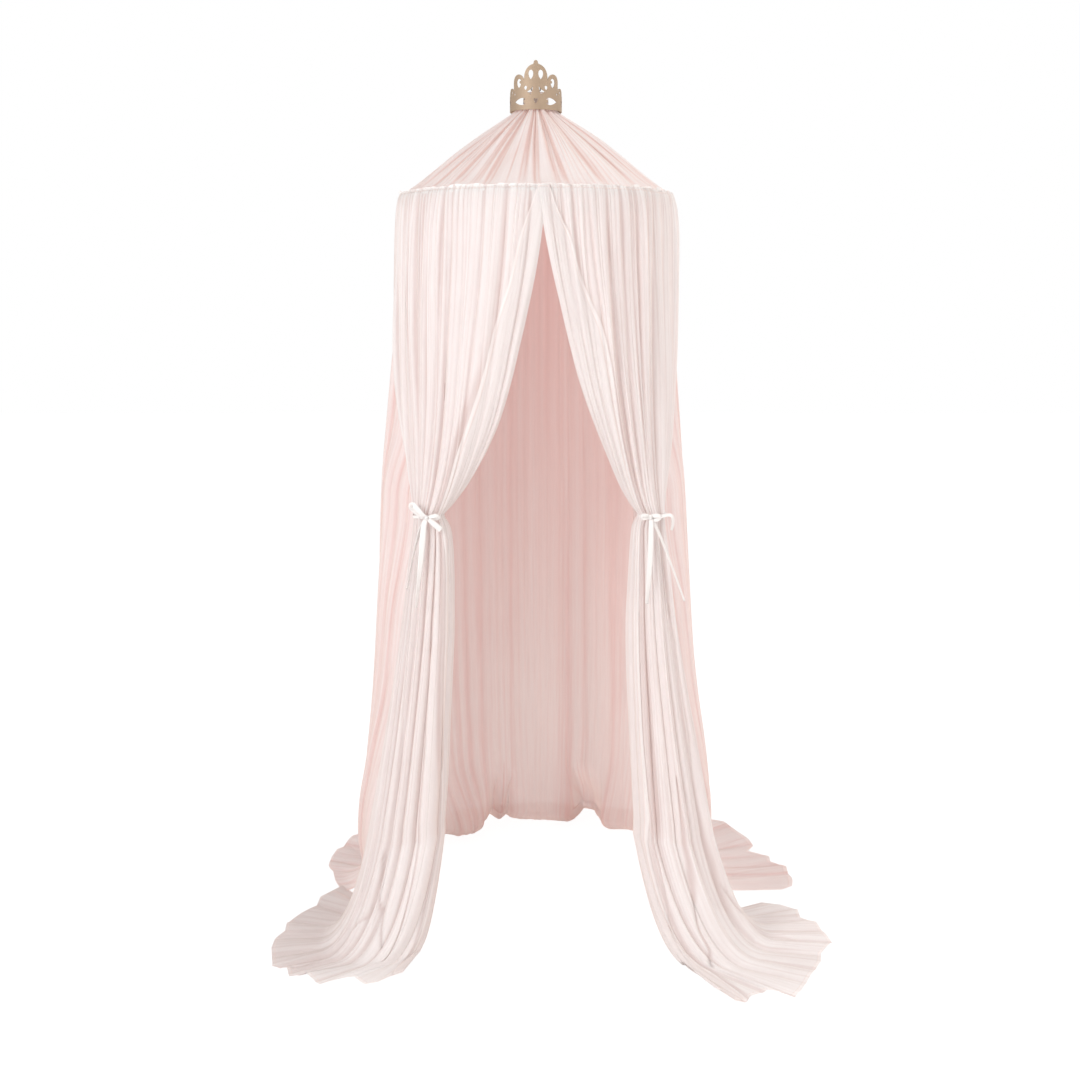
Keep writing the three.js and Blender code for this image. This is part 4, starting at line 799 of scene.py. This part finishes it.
# Millimetres that its foot stands out, by the same angle, and the creases at the foot, each painted with
# shade along it
FOOT_ANGLES = [96, 120, 146, 150, 156, 161, 164, 165.5, 167.6, 169.4, 170.3, 172, 175, 181, 190, 192.4,
               193.5, 196.5, 199, 202, 205, 209, 213, 225, 264]
FOOT_SHIFTS = [0, -20, -50, -68, -60, -3, 40, 58, 12, 31, 45, 18, -3, -14, -4, 43,
               105, 100, 52, 5, -20, -13, 5, 10, 0]
FOOT_FURROWS = [
    ([0.90, 0.96, 1.03], [0.437, 0.433, 0.424], [0.001, 0.003, 0.003], 0.9),
    ([0.93, 0.97, 1.03], [0.452, 0.441, 0.427], [0.001, 0.003, 0.003], 0.8),
    ([0.94, 0.97, 1.03], [0.416, 0.419, 0.421], [0.001, 0.003, 0.003], 0.7),
    ([0.87, 0.95, 1.03], [0.553, 0.561, 0.574], [0.001, 0.003, 0.003], 0.9),
    ([0.90, 0.96, 1.03], [0.577, 0.579, 0.581], [0.001, 0.003, 0.003], 0.7),
    ([0.93, 0.97, 1.03], [0.562, 0.571, 0.585], [0.001, 0.003, 0.003], 0.6)]
FOOT_SHIFT_HEIGHT = 0.16
FOOT_RISE = 0.002
BACK_FLAT = (1.90, 1.86)


def back_radius(level, from_front):
    full = mix(BACK_HEADING_RADIUS, BACK_HEM_RADIUS, through(SIDE_LEVELS, SIDE_SHARES, level))
    start = through(TUCK_LEVELS, TUCK_START_ANGLES, level)
    end = through(TUCK_LEVELS, TUCK_END_ANGLES, level)
    edge = through(TUCK_LEVELS, EDGE_ANGLES, level)
    tucked = full * through(TUCK_LEVELS, TUCK_SHARES, level)
    at_edge = full * through(TUCK_LEVELS, EDGE_SHARES, level)
    open_part = mix(full, tucked, ease((start - from_front) / (start - end)))
    behind_part = mix(tucked, at_edge, (end - from_front) / (end - edge))
    return np.where(from_front >= end, open_part, behind_part)


def back_base(p, place):
    """Place 0 is the hoop, 1 the bend onto the floor and 2 the hem; p runs from the edge behind
    the left curtain, round the back, to the edge behind the right one."""
    p, place = np.broadcast_arrays(p, place)
    level = np.clip(1 - place, 0, 1)
    edge = through(TUCK_LEVELS, EDGE_ANGLES, level)
    around = mix(edge, 360 - edge, p)
    radius = back_radius(level, np.minimum(around, 360 - around))
    low = ease(1 - (level * BACK_HEADING_HEIGHT) / FOOT_SHIFT_HEIGHT)
    radius = radius + MILLIMETRE * through(FOOT_ANGLES, FOOT_SHIFTS, around) * low
    swell = LEFT_SWELL * ease(1 - p / 0.25) + RIGHT_SWELL * ease(1 - (1 - p) / 0.25)
    swell = swell * ease((1 - level) / 0.35) * mix(0.5, 1, ease(level / 0.25))
    radius = radius + swell * ease(np.minimum(p, 1 - p) / 0.07)
    lie = np.clip(place - 1, 0, 1)
    hem = np.interp(around, HEM_ANGLES, HEM_RADII) + HEM_RUFFLE * wander(97, 46, p)
    reach = np.maximum(hem, radius + 0.02) - radius
    bend = np.clip(BEND_REACH / reach, 0.25, 1)
    turn = np.minimum(1, lie / bend) * math.pi / 2
    radius = radius + reach * np.where(lie < bend, bend * (1 - np.cos(turn)), lie)
    height = mix(HEM_BEND, BACK_HEADING_HEIGHT, level)
    height = np.where(place > 1, mix(HEM_BEND, FLOOR_LIFT, np.sin(turn)), height)
    angle = np.radians(around)
    return stack(-radius * np.sin(angle), -radius * np.cos(angle), height)


def back_folds(p, place):
    edge = mix(0.35, 1, ease(np.minimum(np.abs(p), np.abs(1 - p)) * 26))
    places = [0, 0.03, 0.2, 0.6, 0.9, 1.0, 1.15, 1.5, 2]
    sets = [(74, [9, 16, 15, 13, 10, 10, 8, 7, 5], 0.5),
            (27, [3, 12, 38, 50, 60, 64, 40, 30, 30], 0.75),
            (9, [0, 6, 40, 62, 80, 84, 50, 40, 30], 0.3)]
    lift, slide, whole, lines = 0.0, 0.0, 0.0, 0.0
    for number, (count, depths, weight) in enumerate(sets):
        depth = through(places, depths, place) * DEPTH_UNIT * edge
        more = gathers(p, place, count, 83 + 5 * number, depth)
        lift, slide, whole = lift + more[0], slide + more[1], whole + depth
        lines = lines + weight * more[2]
    deep = furrows(p, place, FOOT_FURROWS)
    # Painted shade in the valleys, along the fold lines and along the foot creases; the puddle shade darkens
    # the left puddle and lightens the right one
    shade = PUDDLE_SHADE * (1 - 2 * p) * ease((place - 1) * 4)
    crease = np.clip(0.35 * valleys(lift, whole) + 0.8 * lines + shade, 0, 1)
    return lift + FOOT_RISE * deep, slide, np.maximum(crease, 1.5 * deep)


def back_curtain():
    rows = uneven_rows([0, 0.05, 0.9, 1, 1.3, 2], [8, 66, 16, 22, 20])
    p, place = np.meshgrid(np.linspace(0, 1, 721), rows)
    lift, slide, crease = back_folds(p, place)
    points = laid(back_base, p, place, lift, slide, 1)
    piece = cloth("back_curtain_net", points, BACK_FLAT, crease=crease)
    finish_piece(piece, back_net, "canopy", "back_curtain")


# Cone, gathered at the neck, with a small ruff above its binding

CONE_FOOT_RADIUS = HOOP_RADIUS + 0.0019
CONE_FOOT_HEIGHT = HOOP_HEIGHT + CASING_HALF + 0.0016
CROWN_SEAT_RADIUS = CROWN_RADIUS - 0.0094
CONE_REACH_SHARES = [1, 0.885, 0.59, 0.27, 0]
CONE_RISE_SHARES = [0, 0.1, 0.4, 0.73, 1]
RUFF_HEIGHT = NECK_HEIGHT + 0.016
RUFF_FLARE = 0.003
BINDING_HALF = 0.0065
CONE_FLAT = (1.95, 0.36)


def cone_base(p, place):
    """Place 0 is the edge on the hoop, 4 the crown's rim, 5 and 6 the binding, 7 the ruff's top."""
    rings = np.arange(8)
    radii = [mix(CROWN_SEAT_RADIUS, CONE_FOOT_RADIUS, share) for share in CONE_REACH_SHARES]
    radii += [NECK_RADIUS, NECK_RADIUS, NECK_RADIUS + RUFF_FLARE]
    heights = [mix(CONE_FOOT_HEIGHT, CROWN_RIM, share) for share in CONE_RISE_SHARES]
    heights += [NECK_HEIGHT - BINDING_HALF, NECK_HEIGHT + BINDING_HALF, RUFF_HEIGHT]
    p, place = np.broadcast_arrays(p, place)
    radius, height = through(rings, radii, place), through(rings, heights, place)
    angle = 2 * math.pi * p
    return stack(radius * np.sin(angle), -radius * np.cos(angle), height)


def cone_folds(p, place):
    places = [0, 0.3, 1, 2, 3, 4, 4.7, 5, 6, 7]
    sets = [(9, [0, 3, 8, 12, 13, 9, 3, 0, 0, 6], 0.3, 0.3, 0.4),
            (38, [6, 16, 30, 44, 50, 42, 16, 7, 7, 26], 1.0, 0.05, 0.5),
            (96, [13, 15, 14, 12, 9, 6, 2, 2, 2, 8], 0.75, 0.1, 0.5)]
    strength = through(places, [0.25, 0.35, 0.6, 0.9, 1, 1, 1, 0.5, 0.5, 0.5], place)
    lift, slide, whole, lines = 0.0, 0.0, 0.0, 0.0
    for number, (count, depths, weight, drift, uneven) in enumerate(sets):
        depth = through(places, depths, place) * DEPTH_UNIT
        more = gathers(p, 0.4 * place, count, 131 + 5 * number, depth, uneven, drift, fading=0.5, closed=True)
        lift, slide, whole = lift + more[0], slide + more[1], whole + depth
        lines = lines + weight * more[2]
    # Painted shade in the cone's valleys and along its fold lines, with the pinker look of net lying in
    # layers
    return lift, slide, np.clip(0.35 * valleys(lift, whole) + strength * lines, 0, 1)


def cone():
    rows = uneven_rows([0, 0.3, 1, 3, 4, 5, 6, 7], [6, 10, 34, 18, 18, 4, 8])
    p, place = np.meshgrid(np.linspace(0, 1, 960, endpoint=False), rows)
    lift, slide, crease = cone_folds(p, place)
    points = laid(cone_base, p, place, lift, slide, 1)
    piece = cloth("cone_net", points, CONE_FLAT, closed=True, crease=crease)
    finish_piece(piece, cone_net, "canopy", "cone_top")


# Gathered casing round the hoop, with its narrow ruffled heading standing up outside the cone

CASING_FLAT = (2.3, 0.058)
CASING_GATHERS = 130
HEADING_HEIGHT = 0.007
HEADING_TILT = math.radians(68)
COVER_CLEARANCE = 0.0004


def hoop_cover():
    def base(p, place):
        p, place = np.broadcast_arrays(p, place)
        bend = CASING_HALF + COVER_CLEARANCE
        around = HEADING_TILT - np.radians(350) * np.clip(place - 1, 0, 1)
        uneven = 1 + 0.45 * wander_round(227, 60, p)
        rise = HEADING_HEIGHT * uneven * np.clip(1 - place, 0, 1)
        rise = rise + HEADING_HEIGHT * np.clip(place - 2, 0, 1) * 0.6
        inward = 0.0012 * np.clip(place - 2, 0, 1)
        reach = HOOP_RADIUS + bend * np.cos(around) - inward
        height = HOOP_HEIGHT + bend * np.sin(around) + rise
        angle = 2 * math.pi * p
        return stack(reach * np.sin(angle), -reach * np.cos(angle), height)

    def folds(p, place):
        header_share = np.clip(1 - place, 0, 1)
        depth = mix(0.0005, 0.0028, header_share)
        return gathers(p, place, CASING_GATHERS, 211, depth, 0.6, closed=True)

    rows = uneven_rows([0, 1, 2, 2.6], [7, 20, 4])
    p, place = np.meshgrid(np.linspace(0, 1, 1800, endpoint=False), rows)
    # The crease share is painted shade along the gathers, read by the net's colour
    lift, slide, crease = folds(p, place)
    points = laid(base, p, place, lift, slide, -1)
    piece = cloth("hoop_cover", points, CASING_FLAT, closed=True, turned=True, crease=crease)
    finish_piece(piece, front_net, "canopy", "hoop_casing")


# Satin ribbons

RIBBON_WIDTH = 0.011
RIBBON_THICKNESS = 0.0004
BAND_INSET = 0.0016
KNOT_RADIUS = 0.0042
KNOT_WIDTH = 0.007


def ribbon_grid(path, wide, width, across=5, cup=0.0):
    """Grid along a path of points; wide gives the way across the ribbon at each point, and cup
    how far its middle stands out."""
    path, wide = np.asarray(path), unit(np.asarray(wide))
    along = unit(np.gradient(path, axis=0))
    wide = unit(wide - along * np.sum(wide * along, axis=-1, keepdims=True))
    face = np.cross(along, wide)
    t = np.linspace(-0.5, 0.5, across)
    return (path[:, None, :] + wide[:, None, :] * (t * width)[None, :, None]
            + face[:, None, :] * (cup * (1 - 4 * t**2))[None, :, None])


def bow_frame(side, waist, turn):
    """Axes of a bow tied in front of a waist: along the front, up, and out of it."""
    facing = np.array([math.sin(turn), -math.cos(turn), 0])
    sideways = np.array([math.cos(turn), math.sin(turn), 0])
    reach = 1 / math.hypot(facing[0] / waist["half_width"], facing[1] / waist["half_depth"])
    knot = np.array([side * waist["x"], waist["y"], TIE_HEIGHT]) + facing * (reach + 0.003)
    return knot, np.stack([sideways, [0, 0, 1.0], facing])


def bow_strand(frame_axes, points, widths, turns, samples=41):
    """A loop or tail of ribbon through points (along, up, out, in millimetres from the knot), with
    its width at each and how far it is turned edge-on there, in degrees."""
    knot, axes = frame_axes
    points = np.array(points, float) * MILLIMETRE
    lengths = np.concatenate([[0], np.cumsum(np.linalg.norm(np.diff(points, axis=0), axis=1))])
    t = np.linspace(0, lengths[-1], samples)
    local = np.stack([through(lengths, points[:, k], t) for k in range(3)], axis=-1)
    for _ in range(3):
        local[1:-1] = (local[:-2] + 2 * local[1:-1] + local[2:]) / 4
    path = knot + local @ axes
    width = through(lengths, np.array(widths) * MILLIMETRE, t)
    turn = np.radians(through(lengths, turns, t))
    along = unit(np.gradient(path, axis=0))
    flat_way = unit(np.cross(along, axes[2]))
    wide = flat_way * np.cos(turn)[:, None] + axes[2] * np.sin(turn)[:, None]
    grid = ribbon_grid(path, wide, width=1.0)
    middle = grid.mean(axis=1, keepdims=True)
    return middle + (grid - middle) * width[:, None, None]


def knot_grid(frame_axes):
    """Folded ribbon wrapped over the middle of the bow."""
    knot, axes = frame_axes
    t = np.linspace(0, 2 * math.pi, 25)
    local = stack(0.0 * t, KNOT_RADIUS * np.sin(t), 0.004 + KNOT_RADIUS * np.cos(t))
    wide = np.tile(axes[0], (len(t), 1))
    return ribbon_grid(knot + local @ axes, wide, width=KNOT_WIDTH, across=9, cup=-0.0012)


def band_grid(side, waist, width):
    """The ribbon's way round the gathered cloth, not quite level."""
    t = np.linspace(0, 2 * math.pi, 81)
    x = side * waist["x"] + (waist["half_width"] - BAND_INSET) * np.cos(t)
    y = waist["y"] + (waist["half_depth"] - BAND_INSET) * np.sin(t)
    z = TIE_HEIGHT + 0.0012 * np.sin(t + 0.6) + 0.0006 * np.sin(5 * t)
    wide = np.tile([0, 0, 1.0], (len(t), 1))
    return ribbon_grid(stack(x, y, z), wide, width=width, across=7, cup=-0.0005)


# Strands of the bows: points along, up and out in millimetres from the knot, widths there in
# millimetres, and turns there in degrees


LEFT_BOW = [
    # the loop up to the left, the small loop to the right, the short end, and the two long ends
    ([(0, 0, 3), (-9, 8, 7), (-22, 23, 9), (-29, 30, 6), (-34, 25, 2), (-24, 13, 2), (-10, 3, 2), (0, 0, 2)],
     [5, 9, 11.5, 11, 11, 10, 8, 5], [0, 0, 5, 20, 30, 10, 0, 0]),
    ([(0, 0, 3), (10, 3, 7), (21, 5, 7), (26, 1, 4), (20, -3, 3), (9, -2, 3), (0, 0, 2)],
     [4, 8, 9, 8, 8, 7, 4], [0, 10, 10, 30, 30, 10, 0]),
    ([(0, 0, 4), (8, -6, 7), (18, -14, 8), (31, -25, 8)], [5, 10, 12.5, 13], [0, 0, 5, 8]),
    ([(0, 0, 3), (-5, -10, 7), (-8, -40, 10), (-12, -90, 17), (-17, -140, 24), (-22, -190, 30)],
     [5, 11, 13, 12, 11, 11], [0, 0, 5, 20, 45, 75]),
    ([(0, 0, 2), (-13, -24, 5), (-24, -60, 9), (-34, -105, 14), (-42, -152, 18)],
     [5, 10, 10, 9, 9], [0, 40, 66, 72, 78])]
RIGHT_BOW = [
    # the small loop to the left, the folded loop over the knot, the drooping open end, and the
    # two long ends
    ([(0, 0, 3), (-8, 4, 6), (-15, 4, 7), (-17, 0, 5), (-12, -3, 3), (0, 0, 2)],
     [4, 8, 9, 9, 8, 4], [0, 10, 10, 25, 20, 0]),
    ([(0, 0, 3), (8, 4, 7), (17, 4, 7), (21, 0, 5), (13, -6, 4), (5, -7, 3), (0, 0, 2)],
     [5, 9, 9, 8, 8, 7, 5], [0, 5, 5, 25, 10, 0, 0]),
    ([(0, 0, 1), (18, 1, 2), (32, 5, 3), (42, 6, 4), (48, -2, 4), (48, -14, 4), (45, -27, 4)],
     [5, 8, 9, 9, 9, 8, 7], [0, 30, 45, 50, 50, 45, 40]),
    ([(0, 0, 3), (2, -12, 7), (2, -60, 11), (0, -120, 19), (-4, -184, 28)],
     [5, 10, 12, 12, 10], [0, 0, 5, 20, 55]),
    ([(0, 0, 1), (16, -28, 4), (34, -70, 8), (54, -120, 12), (76, -178, 15)],
     [5, 9, 9, 9, 9], [0, 55, 66, 70, 70])]


def ribbon_tie(name, side, waist, turn, band_width, strands, cad_node):
    frame_axes = bow_frame(side, waist, turn)
    grids = [band_grid(side, waist, band_width), knot_grid(frame_axes)]
    grids += [bow_strand(frame_axes, *strand) for strand in strands]
    strips = []
    for number, grid in enumerate(grids):
        length = float(np.linalg.norm(np.diff(grid.mean(axis=1), axis=0), axis=-1).sum())
        strips.append(cloth(f"{name}_{number}", grid, (RIBBON_WIDTH, length)))
    with bpy.context.temp_override(active_object=strips[0], selected_editable_objects=strips):
        bpy.ops.object.join()
    piece = strips[0]
    piece.name = piece.data.name = name
    solid = piece.modifiers.new("thickness", "SOLIDIFY")
    solid.thickness = RIBBON_THICKNESS
    solid.offset = 0
    finish_piece(piece, satin, "canopy", cad_node)


front_curtain("left_front_curtain", LEFT_CURTAIN, "left_curtain")
front_curtain("right_front_curtain", RIGHT_CURTAIN, "right_curtain")
back_curtain()
cone()
hoop_cover()
ribbon_tie("left_ribbon", LEFT, LEFT_WAIST, math.radians(-2), 0.006, LEFT_BOW, "left_tie")
ribbon_tie("right_ribbon", RIGHT, RIGHT_WAIST, math.radians(-8), 0.008, RIGHT_BOW, "right_tie")

# The pieces that are seen as built

BUILT_LOOKS = {
    "crown": gold, "crown_rivet_1": gold, "crown_rivet_2": gold, "neck_binding": tape,
    "webbing_loop": tape, "hang_ring": steel}
for number in (1, 2, 3):
    for kind in ("hoop_section", "hoop_sleeve"):
        BUILT_LOOKS[f"{kind}_{number}"] = plastic
for name, material in BUILT_LOOKS.items():
    dress(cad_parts[name], material)


# Floor, light and camera

FLOOR_HALF = 14.0
# The floor's own glow towards the camera and its share there, for the photo's plain white
FLOOR_GLOW = 1.14
GLOW_SHARE = 0.8
AMBIENT = 0.52
WARM = (1, 0.94, 0.895)
# The photo's width and focal length in pixels, and the camera's place over the floor
PHOTO_WIDTH = 1080
FOCAL_LENGTH = 1376
SENSOR_WIDTH = 36
CAMERA_PLACE = (0.009, -3.12, FLOOR + 1.424)
CAMERA_PITCH = 80


def floor():
    mesh = bpy.data.meshes.new("floor")
    corners = [(x * FLOOR_HALF, y * FLOOR_HALF, FLOOR) for x, y in ((-1, -1), (1, -1), (1, 1), (-1, 1))]
    mesh.from_pydata(corners, [], [(0, 1, 2, 3)])
    piece = bpy.data.objects.new("floor", mesh)
    bpy.context.collection.objects.link(piece)
    material, tree = material_with("pale floor")
    seen = node(tree, "ShaderNodeLightPath").outputs["Is Camera Ray"]
    matt = node(tree, "ShaderNodeBsdfDiffuse", {"Color": (0.9, 0.9, 0.9, 1)})
    white = node(tree, "ShaderNodeEmission", {"Color": (1, 1, 1, 1), "Strength": FLOOR_GLOW})
    share = maths(tree, "MULTIPLY", seen, GLOW_SHARE)
    both = node(tree, "ShaderNodeMixShader", {0: share, 1: matt.outputs[0], 2: white.outputs[0]})
    node(tree, "ShaderNodeOutputMaterial", {"Surface": both.outputs[0]})
    mesh.materials.append(material)


def sky():
    world = bpy.data.worlds.new("studio")
    bpy.context.scene.world = world
    world.use_nodes = True
    tree = world.node_tree
    tree.nodes.clear()
    rays = node(tree, "ShaderNodeLightPath")
    seen = maths(tree, "MAXIMUM", rays.outputs["Is Camera Ray"], rays.outputs["Is Transmission Ray"])
    strength = maths(tree, "MULTIPLY_ADD", seen, 1.0 - AMBIENT, AMBIENT)
    light = node(tree, "ShaderNodeBackground", {"Color": (1, 1, 1, 1), "Strength": strength})
    node(tree, "ShaderNodeOutputWorld", {"Surface": light.outputs[0]})


def lamp(name, place, aim, size, power, colour=(1, 1, 1)):
    data = bpy.data.lights.new(name, "AREA")
    data.shape = "RECTANGLE"
    data.size, data.size_y = size
    data.energy = power
    data.color = colour
    lamp_object = bpy.data.objects.new(name, data)
    lamp_object.location = place
    lamp_object.rotation_mode = "QUATERNION"
    lamp_object.rotation_quaternion = (Vector(aim) - Vector(place)).to_track_quat("-Z", "Y")
    bpy.context.collection.objects.link(lamp_object)


def camera():
    data = bpy.data.cameras.new("camera")
    data.lens = FOCAL_LENGTH / PHOTO_WIDTH * SENSOR_WIDTH
    data.sensor_width = SENSOR_WIDTH
    viewer = bpy.data.objects.new("camera", data)
    viewer.location = CAMERA_PLACE
    viewer.rotation_euler = (math.radians(CAMERA_PITCH), 0, 0)
    bpy.context.collection.objects.link(viewer)
    bpy.context.scene.camera = viewer


floor()
sky()
lamp("key", (-2.8, -3.2, FLOOR + 2.5), (0, 0, FLOOR + 0.95), (2.0, 2.0), 124)
lamp("fill", (3.0, -2.6, FLOOR + 1.8), (0, 0, FLOOR + 0.9), (2.4, 2.4), 48, WARM)
lamp("top", (1.6, 0.6, FLOOR + 3.0), (0.6, 0.1, FLOOR), (1.6, 1.6), 32)
camera()
bpy.context.scene.view_settings.view_transform = "Standard"
